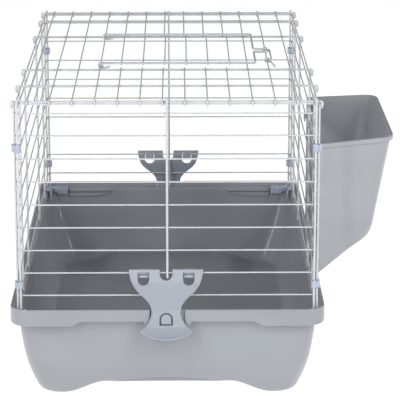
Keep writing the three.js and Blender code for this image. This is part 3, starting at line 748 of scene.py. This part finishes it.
# [height, half width] down the latch's edge.
LATCH_EDGE = [
    (LATCH_TOP, 57.0), (208, 56.8), (200, 55.6), (193, 53.6), (186, 50.4), (179.7, 45.6), (171.8, 37.0),
    (164.7, 29.4), (156.9, 24.1), (149, 22.3), (141, 23.3), (132, 26.8), (125, 30.8), (123, 32.0),
    (119.5, 36.8), (117, 40.0), (114.2, 37), (111.7, 30.5), (109.3, 21), (107.6, 11), (106.8, 1.5),
]
LIP_Z = 122.5
LIP_FLARE, LIP_FLARE_Z = 13.5, 104
WINDOW_X, WINDOW_HALF = 34.8, 8.8
WINDOW_TOP = LATCH_Z + 2.3
WINDOW_ARC_Z = LATCH_Z - 10.8
WINDOW_END = WINDOW_ARC_Z - WINDOW_HALF
NOTCH_HALF = 9.8
NOTCH_ARC_Z = LATCH_Z - 2
NOTCH_END = NOTCH_ARC_Z - NOTCH_HALF
ARCH_WIDE, ARCH_LOW, ARCH_SPRING = 10.4, 125.6, 136.2
ARCH_TOP = ARCH_SPRING + ARCH_WIDE
LATCH_SHIFT = 2.0
LATCH_EDGE_SOFT = 0.6
SLOT_ANGLES = range(0, 91, 15)
PLATE_ROW, LIP_ROW, ROW_CLOSEST = 2.0, 1.5, 0.25
# Rows this near a slot's end count as reaching it.
TOUCH, SLOT_TOUCH = 0.01, 0.3


def table_value(table, z):
    """Value at a height in a table that runs downwards, with smooth changes of slope."""
    for index in range(len(table) - 1):
        (z0, v0), (z1, v1) = table[index], table[index + 1]
        if z1 <= z <= z0:
            before = table[max(index - 1, 0)]
            after = table[min(index + 2, len(table) - 1)]
            t = (z0 - z) / (z0 - z1)
            slope0 = (v1 - before[1]) / (before[0] - z1) * (z0 - z1)
            slope1 = (after[1] - v0) / (z0 - after[0]) * (z0 - z1)
            blend = t * t * (3 - 2 * t)
            bulge = slope0 * t * (1 - t) ** 2 + slope1 * t * t * (t - 1)
            return v0 + (v1 - v0) * blend + bulge
    return table[-1][1]


def latch_out(z):
    """How far the middle of the plate stands out from the end panel's bars."""
    if z >= BEND_TOP:
        return PLATE_OUT
    if z > BEND_LOW:
        square = BEND_TOP - 2 * BEND_PULL + BEND_LOW
        half_slope = BEND_TOP - BEND_PULL
        t = (half_slope - sqrt(half_slope ** 2 - square * (BEND_TOP - z))) / square
        return (1 - t) ** 2 * PLATE_OUT + 2 * t * (1 - t) * (SEAT_OUT - BEND_TUCK) + t * t * SEAT_OUT
    if z > LIP_Z:
        return SEAT_OUT
    return SEAT_OUT + LIP_FLARE * ((LIP_Z - z) / (LIP_Z - LIP_FLARE_Z)) ** 1.2


def slot_half(half, past):
    """Half width of a slot with a round end, at a distance past that end's centre."""
    if past <= 0:
        return half
    return sqrt(max(half * half - past * past, 0.0))


def steps_down(z, stop, step):
    """Heights from z down to just above stop."""
    while z > stop:
        yield z
        z -= step


def latch_rows():
    """Heights of the plate's rows, with one at every change in its slots."""
    levels = [LATCH_TOP, LATCH_TOP - 1.8, WINDOW_TOP]
    levels += [WINDOW_TOP - 2.2 * step for step in range(1, 6)]
    for angle in SLOT_ANGLES:
        drop = sin(radians(angle))
        levels.append(WINDOW_ARC_Z - WINDOW_HALF * drop)
        levels.append(NOTCH_ARC_Z - NOTCH_HALF * drop)
        levels.append(ARCH_SPRING + ARCH_WIDE * drop)
    levels += steps_down(WINDOW_END - PLATE_ROW, LIP_Z + 0.6, PLATE_ROW)
    levels += [LIP_Z + 0.3, LIP_Z - 0.3]
    levels += steps_down(LIP_Z - LIP_ROW, LATCH_EDGE[-1][0] + 0.4, LIP_ROW)
    levels += [LATCH_EDGE[-1][0], ARCH_LOW]
    spaced = []
    for level in sorted(levels, reverse=True):
        if not spaced or spaced[-1] - level > ROW_CLOSEST:
            spaced.append(level)
    return spaced


def plate_stops(z):
    """Places across one half of the plate at a height, from the notch out to the edge."""
    edge = table_value(LATCH_EDGE, z)
    window = slot_half(WINDOW_HALF, WINDOW_ARC_Z - z) if z >= WINDOW_END - TOUCH else 0
    notch = slot_half(NOTCH_HALF, NOTCH_ARC_Z - z) if z >= NOTCH_END - TOUCH else 0
    middle = WINDOW_X
    if z < WINDOW_END:
        middle = edge * WINDOW_X / table_value(LATCH_EDGE, WINDOW_END)
    inner = (notch + middle - window) / 2
    if ARCH_LOW - TOUCH <= z <= ARCH_TOP + TOUCH:
        inner = max(slot_half(ARCH_WIDE, z - ARCH_SPRING), 0.4)
    stops = [notch, inner, max(middle - window, inner + 0.3), max(middle, inner + 0.6)]
    return stops + [middle + window, (middle + window + edge) / 2, edge]


def latch_plate():
    """The butterfly plate as one sheet: its edge, two windows, the notch for the post and the arch."""
    rows = latch_rows()
    verts = []
    for z in rows:
        stops = plate_stops(z)
        verts += [(x, -END_Y - latch_out(z), z) for x in [-stop for stop in reversed(stops)] + stops]
    count = len(verts) // len(rows)
    half = count // 2
    faces = []
    for row, (top, bottom) in enumerate(zip(rows, rows[1:])):
        for column in range(count - 1):
            side = column - half if column >= half else half - 2 - column
            in_window = side in (2, 3) and top <= WINDOW_TOP + TOUCH and bottom >= WINDOW_END - SLOT_TOUCH
            in_notch = column == half - 1 and bottom >= NOTCH_END - SLOT_TOUCH
            in_arch = side in (0, -1) and top <= ARCH_TOP + TOUCH and bottom >= ARCH_LOW - TOUCH
            if not (in_window or in_notch or in_arch):
                a = row * count + column
                faces.append((a, a + 1, a + 1 + count, a + count))
    return verts, faces


FINGER_HALF = 7.8
FINGER_MIDDLE = (1.5, 204.5)
# Round the finger's section: [distance in from the bars, height].
FINGER_LINE = [
    (-1.6, LATCH_TOP - 0.4), (2.6, LATCH_TOP - 0.4), (3.6, LATCH_TOP - 1.4), (3.9, LATCH_TOP - 3),
    (3.9, 198.2), (3.3, 197.5), (-1.4, 197.5), (-2.0, 198.1), (-2.0, 200.9), (-1.5, 201.4),
    (1.2, 201.8), (1.8, 202.8), (1.8, 206.2), (1.2, 207.5), (0, 208.0), (-1.6, 208.1),
]


def finger(middle):
    """The hooked finger behind a window: over the bar, down inside the cage and forward under it."""
    centre_y, centre_z = FINGER_MIDDLE
    rings = []
    inner = FINGER_HALF - 0.4
    for x, size in ((-FINGER_HALF, 0.93), (-inner, 1), (inner, 1), (FINGER_HALF, 0.93)):
        rings.append([
            (middle + x, -END_Y + centre_y + (y - centre_y) * size, centre_z + (z - centre_z) * size)
            for y, z in FINGER_LINE
        ])
    return loft(rings)


# [depth, size] of the rings of the arch's floor, from its back out to the raised middle.
EMBOSS_RINGS = [
    (6.2, 0.5), (6.2, 1.04), (5.9, 1.08), (1.6, 1.08), (1.3, 1.05), (1.6, 1.01), (5.0, 0.99),
    (5.2, 0.96), (5.2, 0.8), (5.0, 0.77), (0.9, 0.73), (0.5, 0.7), (0.3, 0.62), (0.25, 0.3),
]
EMBOSS_STEPS = 12


def emboss():
    """The floor of the arch: a groove round a raised middle."""
    outline = [(-ARCH_WIDE, ARCH_LOW), (ARCH_WIDE, ARCH_LOW)]
    for step in range(EMBOSS_STEPS + 1):
        angle = radians(180 * step / EMBOSS_STEPS)
        outline.append((ARCH_WIDE * cos(angle), ARCH_SPRING + ARCH_WIDE * sin(angle)))
    front = -END_Y - SEAT_OUT - LATCH_THICK / 2
    centre = (ARCH_LOW + ARCH_TOP) / 2
    rings = []
    for depth, size in EMBOSS_RINGS:
        rings.append([(x * size, front + depth, centre + (z - centre) * size) for x, z in outline])
    return loft(rings)


LIP_BEAD_HALF, LIP_BEAD_LOW, LIP_BEAD_RISE = 38.6, 107.2, 9.4
LIP_BEAD_RADIUS, LIP_BEAD_OUT, LIP_BEAD_DROP = 1.7, 0.9, 0.2
LIP_BEAD_STEPS = 24
RIB_RADIUS, RIB_INSET, RIB_SUNK, RIB_STEP = 0.95, 1.0, 0.25, 3


def edge_lip():
    """The rounded bead along the lip's lower edge."""
    path = []
    for step in range(LIP_BEAD_STEPS + 1):
        t = -1 + 2 * step / LIP_BEAD_STEPS
        z = LIP_BEAD_LOW + LIP_BEAD_RISE * abs(t) ** 2.2
        path.append((LIP_BEAD_HALF * t, -END_Y - latch_out(z) - LIP_BEAD_OUT, z - LIP_BEAD_DROP))
    return tube(path, LIP_BEAD_RADIUS, 10)


def side_ribs():
    """Raised edges down both sides of the latch."""
    ribs = []
    for side in (-1, 1):
        path = []
        for z in steps_down(LATCH_TOP - 1.5, LIP_Z + 1, RIB_STEP):
            reach = table_value(LATCH_EDGE, z) - RIB_INSET
            path.append((side * reach, -END_Y - latch_out(z) - LATCH_THICK / 2 + RIB_SUNK, z))
        ribs.append(tube(path, RIB_RADIUS, 8))
    return ribs


def make_latch(name, turned):
    """One latch: the plate with its fingers, emboss, lip and ribs."""
    clip_name = name + "_clip"
    plate = Builder(latch_plate()).piece(clip_name, "cage", [name], "latch_plastic", latch_plastic)
    weld = plate.modifiers.new("weld", "WELD")
    weld.merge_threshold = 0.02 * MM
    thicken(plate, LATCH_THICK, 0)
    bevel = plate.modifiers.new("soft_edges", "BEVEL")
    bevel.width = LATCH_EDGE_SOFT * MM
    bevel.segments = 2
    bevel.limit_method = "ANGLE"
    bevel.angle_limit = radians(30)
    extras = [finger(WINDOW_X), finger(-WINDOW_X), emboss(), edge_lip(), *side_ribs()]
    latch = with_extras(plate, extras)
    shift = LATCH_SHIFT if turned else -LATCH_SHIFT
    latch.verts = [(x + shift, y, z) for x, y, z in latch.verts]
    if turned:
        latch.half_turn()
    latch.piece(clip_name, name, [name], "latch_plastic", latch_plastic, 40)


# ---- hay rack ----
RACK_LOW, RACK_HIGH = (Vector(corner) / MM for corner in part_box("hay_rack"))
RACK_RIM_PROUD = 3.0
RACK_IN = 233.6
RACK_OUT = RACK_HIGH.x - CENTRE_X
RACK_FRONT = RACK_LOW.y + RACK_RIM_PROUD
RACK_BACK = RACK_HIGH.y - RACK_RIM_PROUD
RACK_FRONT_TAPER = 22.0
RACK_BACK_TAPER = 8.0
RACK_RISE = 6.5
RACK_TOP = RACK_HIGH.z - RACK_RISE
RACK_WALL = 2.4
RACK_DRAFT = 0.03
RACK_CORNER = 24.0
SIDE_STEPS, FRONT_STEPS = 12, 16
# Down the hopper: how far out its outer wall is, that wall's height, and the height at the cage side.
RACK_CURVE = [
    (348.0, 404.0, 397.5), (345.4, 390, 384), (341.0, 366, 361), (335.0, 333, 330), (328.8, 299, 300),
    (323.6, 270.5, 276), (321.0, 257.5, 264), (318.6, 250, 256), (314.8, 243.4, 248), (309, 237.6, 240),
    (301, 232, 232), (288, 223.4, 223.4), (272, 212.7, 212.7), (256, 202, 202), (243, 193.3, 193.3),
    (235.4, 188.3, 188.3),
]


def rack_path(out_x, draft):
    """U-shaped path round the rack at one level, from the front of the cage side to the back."""
    width = out_x - RACK_IN
    reach = width / (RACK_OUT - RACK_IN)
    front = RACK_FRONT + draft
    back = RACK_BACK - draft
    corner = min(RACK_CORNER, width * 0.6)
    start = Vector((RACK_IN, front, 0))
    front_corner = Vector((out_x, front + RACK_FRONT_TAPER * reach, 0))
    back_corner = Vector((out_x, back - RACK_BACK_TAPER * reach, 0))
    end = Vector((RACK_IN, back, 0))
    first_bend = rounded([start, front_corner, back_corner], corner, 8)[1:-1]
    second_bend = rounded([front_corner, back_corner, end], corner, 8)[1:-1]
    path = [start.lerp(first_bend[0], step / SIDE_STEPS) for step in range(SIDE_STEPS)]
    path += first_bend
    path += [first_bend[-1].lerp(second_bend[0], step / FRONT_STEPS) for step in range(1, FRONT_STEPS)]
    path += second_bend
    path += [second_bend[-1].lerp(end, step / SIDE_STEPS) for step in range(1, SIDE_STEPS + 1)]
    return [point.xy for point in path]


# Round the rim's section: [distance out from the hopper, height].
RACK_RIM_LINE = [
    (-2.6, 0), (-2.4, 0.9), (-1.6, 1.4), (2, 1.4), (2.8, 0.9), (3, 0), (3, -5), (2.6, -5.6),
    (1.8, -5.6), (1.2, -5.2), (0.9, -1.2), (-2.2, -1.6),
]
RACK_RIM_CROWN = 1.4


def rack_rim():
    """The rolled rim: a rounded band round the three free sides."""
    mouth = rack_path(RACK_OUT - RACK_RIM_PROUD, 0)
    rings = []
    for point, along in zip(mouth, tangents(mouth)):
        outward = Vector((along.y, -along.x))
        share = (point.x - RACK_IN) / (RACK_OUT - RACK_IN)
        top = RACK_TOP + RACK_RISE * share - RACK_RIM_CROWN
        ring = []
        for out, up in RACK_RIM_LINE:
            spot = point + outward * out
            ring.append((max(spot.x, RACK_IN), spot.y, top + up))
        rings.append(ring)
    return loft(rings)


BLOCK_SOFT = 0.6


def block_part(low, high):
    """A block with chamfered edges."""
    (x0, y0, z0), (x1, y1, z1) = low, high
    soft = BLOCK_SOFT
    outline = [
        (y0 + soft, z0), (y1 - soft, z0), (y1, z0 + soft), (y1, z1 - soft),
        (y1 - soft, z1), (y0 + soft, z1), (y0, z1 - soft), (y0, z0 + soft),
    ]
    sections = ((x0, soft), (x0 + soft, 0), (x1 - soft, 0), (x1, soft))
    return loft([[(x, y, z) for y, z in drawn_in(outline, pull)] for x, pull in sections])


HOOK_BAR_Z = BAR_LOWEST + 6 * BAR_PITCH
HOOK_TOP = HOOK_BAR_Z + 5
HOOK_SPREAD, HOOK_HALF, HOOK_THICK = 70, 9, 2
HOOK_RIB_HALF = 3
FLANGE_LOW = HOOK_BAR_Z - 14
FLANGE_SIDE_GAP = 1


def rack_flange():
    """The strip that ties the two end walls together on the cage side."""
    low = (RACK_IN, RACK_FRONT + FLANGE_SIDE_GAP, FLANGE_LOW)
    return block_part(low, (RACK_IN + RACK_WALL, RACK_BACK - FLANGE_SIDE_GAP, HOOK_TOP))


def rack_hooks():
    """Two hooks over a side-panel bar, each with a top, a drop behind it and a rib."""
    over_x = SIDE_BAR_X - THIN - GAP
    far_x = over_x - HOOK_THICK
    flange_x = RACK_IN + RACK_WALL
    hooks = []
    for side in (-1, 1):
        y = (RACK_FRONT + RACK_BACK) / 2 + side * HOOK_SPREAD
        front, back = y - HOOK_HALF, y + HOOK_HALF
        top_low = (far_x, front, HOOK_BAR_Z + THIN + GAP)
        rib_low = (flange_x - 0.4, y - HOOK_RIB_HALF, HOOK_BAR_Z - 12)
        hooks.append(block_part(top_low, (RACK_IN + 1, back, HOOK_TOP)))
        hooks.append(block_part((far_x, front, HOOK_BAR_Z - 6), (over_x, back, HOOK_TOP - 0.4)))
        hooks.append(block_part(rib_low, (flange_x + 1.2, y + HOOK_RIB_HALF, HOOK_TOP - 1)))
    return hooks


def make_rack():
    """The hay rack: a hopper drawn level by level, with its rim, flange and hooks."""
    verts = []
    for out_x, out_z, in_z in RACK_CURVE:
        draft = max(0.0, RACK_TOP - out_z) * RACK_DRAFT
        for point in rack_path(out_x, draft):
            share = (point.x - RACK_IN) / (out_x - RACK_IN)
            verts.append((point.x, point.y, in_z + (out_z - in_z) * share))
    count = len(verts) // len(RACK_CURVE)
    faces = []
    for row in range(len(RACK_CURVE) - 1):
        for i in range(count - 1):
            a = row * count + i
            faces.append((a, a + count, a + count + 1, a + 1))
    sheet = Builder((verts, faces))
    hopper = sheet.piece("rack_hopper", "hay_rack", ["hay_rack"], "rack_plastic", rack_plastic)
    thicken(hopper, RACK_WALL, -1)
    rack = with_extras(hopper, [rack_rim(), rack_flange(), *rack_hooks()])
    rack.piece("rack_hopper", "hay_rack", ["hay_rack"], "rack_plastic", rack_plastic, 38)


# ---- clips ----
CLIP_LEVELS_Z = {"upper": 403.0, "lower": 187.0}
CLIP_HALF = 6.0
CLIP_RADIUS = THICK + GAP + 2.8
CLIP_STEPS = 60
# [height, size] up a collar's softly rounded side.
CLIP_RINGS = [
    (-6, 0.84), (-5.7, 0.92), (-5, 0.98), (-4, 1.0), (-1.2, 1.0), (-0.6, 0.97), (0.6, 0.97),
    (1.2, 1.0), (4, 1.0), (5, 0.98), (5.7, 0.92), (6, 0.84),
]
WAIST, WAIST_WIDTH = 0.2, 1.5
DIP, DIP_WIDTH = 2.6, 2.0


def corner_clip(sign_x, sign_y, z):
    """Two snap collars round a pair of posts, with a V between them at top and bottom."""
    post_a = Vector((sign_x * END_POST_X, sign_y * (END_Y + WELD_STEP)))
    post_b = Vector((sign_x * SIDE_POST_X, sign_y * SIDE_REACH))
    middle = (post_a + post_b) / 2
    along = (post_b - post_a).normalized()
    across = Vector((-along.y, along.x))
    half_span = (post_b - post_a).length / 2
    outline = []
    for step in range(CLIP_STEPS):
        angle = 2 * pi * step / CLIP_STEPS
        centre = half_span * tanh(3 * cos(angle))
        outline.append((centre + CLIP_RADIUS * cos(angle), CLIP_RADIUS * sin(angle)))
    rings = []
    for level, size in CLIP_RINGS:
        ring = []
        for u, v in outline:
            pinch = 1 - WAIST * exp(-(u / WAIST_WIDTH) ** 2)
            dip = DIP * exp(-(u / DIP_WIDTH) ** 2) * (abs(level) / CLIP_HALF) ** 3
            spot = middle + along * (u * size) + across * (v * size * pinch)
            ring.append((spot.x, spot.y, z + level - copysign(dip, level)))
        rings.append(ring)
    return loft(rings)


RIBBED_SOFT = 0.9
# Where a ribbed block's sections lie at each end and over one rib: [share of the length, drawn in by].
END_SECTIONS = [(0.0, 0.9), (0.02, 0.3), (0.06, 0.0)]
RIB_SECTIONS = [(0, 0.0), (0.3, 0.0), (0.4, 0.55), (0.6, 0.55), (0.7, 0.0)]
RIBS_START, RIBS_SPAN = 0.1, 0.8


def ribbed_block(low, high, rib_axis, ribs):
    """A block with soft edges and shallow ribs across it."""
    sections = list(END_SECTIONS)
    for rib in range(ribs):
        start = RIBS_START + RIBS_SPAN * rib / ribs
        sections += [(start + RIBS_SPAN / ribs * share, draw) for share, draw in RIB_SECTIONS]
    sections += [(1 - share, draw) for share, draw in reversed(END_SECTIONS)]
    others = [axis for axis in range(3) if axis != rib_axis]
    middle = [(low[axis] + high[axis]) / 2 for axis in range(3)]
    half = [(high[axis] - low[axis]) / 2 for axis in range(3)]
    rings = []
    for share, draw in sections:
        ring = []
        for corner, signs in enumerate(((1, 1), (-1, 1), (-1, -1), (1, -1))):
            for bend in range(4):
                angle = radians(90 * corner + 30 * bend)
                point = [0, 0, 0]
                point[rib_axis] = low[rib_axis] + (high[rib_axis] - low[rib_axis]) * share
                for axis, sign, unit in zip(others, signs, (cos(angle), sin(angle))):
                    point[axis] = middle[axis] + sign * (half[axis] - RIBBED_SOFT) + RIBBED_SOFT * unit
                    point[axis] -= draw * sign
                ring.append(tuple(point))
        rings.append(ring)
    return loft(rings)


FOOT_CLIP_THICK = 3.05
FOOT_CLIP_MARGIN = 3.5


def foot_clip(sign_x, sign_y):
    """An angle clip at a tray corner: plates on the ledge and a ribbed tab inside each wall."""
    clear = THICK + GAP
    bottom, top = POST_FOOT_Z, POST_FOOT_Z + FOOT_CLIP_THICK
    notch_x, notch_y = END_POST_X - clear, SIDE_REACH - clear
    end_face, side_face = END_Y + WELD_STEP + FOOT_CLIP_MARGIN, SIDE_POST_X + FOOT_CLIP_MARGIN
    if sign_y > 0:
        blocks = [
            ((191, 367.6, bottom), (notch_x, end_face, top), 0, 3),
            ((220.6, 343, bottom), (side_face, notch_y, top - 0.3), 1, 3),
            ((191, 366.9, 129.5), (213, 371.2, top - 0.2), 0, 4),
            ((197, 366.2, 132), (208, 369.5, top - 2.2), 0, 2),
            ((212, 367.3, 133.5), (221, 370.8, top - 0.6), 0, 1),
            ((220.4, 343, 126), (224.0, 360, top - 0.4), 1, 3),
        ]
    else:
        blocks = [
            ((215.5, 367.6, bottom), (notch_x, end_face - 4, bottom + 1.6), 0, 1),
            ((224.5, 352, bottom), (side_face, notch_y, bottom + 1.6), 1, 1),
            ((190, 367.6, 124), (212, 371.2, 137.5), 0, 4),
            ((211, 367.9, 130), (220, 370.9, 137.5), 0, 1),
            ((215.5, 367.7, 131), (220, 370.7, bottom + 1.4), 0, 1),
            ((220.6, 343, 124), (224.2, 360, 137.5), 1, 3),
        ]
    placed = []
    for block in blocks:
        verts, faces = ribbed_block(*block)
        placed.append(([(sign_x * x, sign_y * y, z) for x, y, z in verts], faces))
    return placed


# ---- build the pieces ----
make_tray()
WIRE_PIECES = [
    ("front_wires", "cage", "front_panel", end_panel(False)),
    ("back_wires", "cage", "back_panel", end_panel(True).half_turn()),
    ("left_wires", "cage", "left_panel", side_panel(-1)),
    ("right_wires", "cage", "right_panel", side_panel(1)),
    ("roof_wires", "cage", "roof_panel", roof_panel()),
    ("door_wires", "door", "roof_door", roof_door()),
    ("catch_wire", "catch", "door_catch", door_catch()),
]
for name, body, node, wires in WIRE_PIECES:
    wires.piece(name, body, [node], "wire_coating", wire_coat)
make_latch("front_latch", False)
make_latch("back_latch", True)
make_rack()
for end_name, sign_y in (("front", -1), ("back", 1)):
    for side_name, sign_x in (("left", -1), ("right", 1)):
        corner = f"{end_name}_{side_name}"
        clips = {kind: [corner_clip(sign_x, sign_y, z)] for kind, z in CLIP_LEVELS_Z.items()}
        clips["foot"] = foot_clip(sign_x, sign_y)
        for kind, parts in clips.items():
            name, node = f"collar_{corner}_{kind}", f"clip_{corner}_{kind}"
            Builder(*parts).piece(name, "cage", [node], "clip_plastic", clip_plastic, 50)

# ---- floor, light and camera ----
# The floor and lights are in metres and watts, the camera in the cage's millimetres and degrees.
FLOOR_HALF = 9.0
FLOOR_DROP = 0.0005
floor_mesh = bpy.data.meshes.new("studio_floor")
floor_corners = [(x * FLOOR_HALF, y * FLOOR_HALF, 0) for x, y in ((-1, -1), (1, -1), (1, 1), (-1, 1))]
floor_mesh.from_pydata(floor_corners, [], [(0, 1, 2, 3)])
floor = bpy.data.objects.new("studio_floor", floor_mesh)
floor.location.z = -FLOOR_DROP
scene.collection.objects.link(floor)
floor_look = {"Base Color": (0.25, 0.25, 0.25, 1), "Roughness": 0.9, "Specular IOR Level": 0.0}
floor_look |= {"Coat Roughness": 0.1, "Emission Color": (1, 1, 1, 1), "Emission Strength": 0.95}
floor_material = new_material("studio_floor", floor_look)[0]
floor_mesh.materials.append(floor_material)
floor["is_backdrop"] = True


def studio_world(horizon, zenith):
    """A white surround that fades to a dim ceiling."""
    world = bpy.data.worlds.new("studio")
    scene.world = world
    world.use_nodes = True
    tree = world.node_tree
    direction = new_node(tree, "TexCoord", {}).outputs["Generated"]
    height = new_node(tree, "SeparateXYZ", {"Vector": direction}).outputs["Z"]
    values = {"Value": height, "From Max": 0.85, "To Min": horizon, "To Max": zenith}
    fade = new_node(tree, "MapRange", values)
    fade.interpolation_type = "SMOOTHSTEP"
    look = {"Color": (1, 1, 1, 1), "Strength": fade.outputs["Result"]}
    set_inputs(tree, tree.nodes["Background"], look)


def soft_light(name, position, target, size, power, in_gloss):
    """A rectangular light aimed at a point."""
    data = bpy.data.lights.new(name, "AREA")
    data.shape = "RECTANGLE"
    data.size, data.size_y = size
    data.energy = power
    light = bpy.data.objects.new(name, data)
    light.location = position
    direction = Vector(target) - Vector(position)
    light.rotation_euler = direction.to_track_quat("-Z", "Y").to_euler()
    light.visible_glossy = in_gloss
    scene.collection.objects.link(light)


# Kind, right-hand position, target, size, power and whether gloss shows it; each has a left twin.
LIGHT_PAIRS = [
    ("panel", (1.7, -2.4, 1.15), (0, -0.2, 0.3), (0.34, 1.9), 28, True),
    ("near", (0.7, -1.1, 1.05), (0, -0.35, 0.15), (0.4, 0.4), 3.8, False),
    ("side", (2.3, 0.3, 1.2), (0, 0, 0.3), (1.3, 0.8), 17, False),
]
studio_world(horizon=0.25, zenith=0.05)
for kind, (x, y, z), target, size, power, in_gloss in LIGHT_PAIRS:
    for side_name, side in (("left", -1), ("right", 1)):
        soft_light(f"{side_name}_{kind}_light", (side * x, y, z), target, size, power, in_gloss)
soft_light("overhead_light", (0, 0.9, 1.9), (0, 0, 0.15), (1.6, 0.7), 4, False)

CAMERA_OFFSET_X = 18.0
CAMERA_BEFORE_FRONT = 3066.0
CAMERA_HEIGHT = 1158.0
CAMERA_PITCH = 15.27
CAMERA_YAW = 0.60
FOCAL_IN_FRAMES = 2089 / 400
SENSOR_WIDTH = 36
camera_data = bpy.data.cameras.new("main_view")
camera_data.sensor_width = SENSOR_WIDTH
camera_data.lens = SENSOR_WIDTH * FOCAL_IN_FRAMES
camera = bpy.data.objects.new("main_view", camera_data)
camera.location = place((CAMERA_OFFSET_X, -END_Y - CAMERA_BEFORE_FRONT, CAMERA_HEIGHT))
camera.rotation_euler = (radians(90 - CAMERA_PITCH), 0, radians(-CAMERA_YAW))
scene.collection.objects.link(camera)
bpy.context.scene.camera = camera
scene.view_settings.view_transform = "Standard"

boxes = {"cad": CAD_BOX, "visual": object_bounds()}
{name: [list(corner) for corner in box] for name, box in boxes.items()}
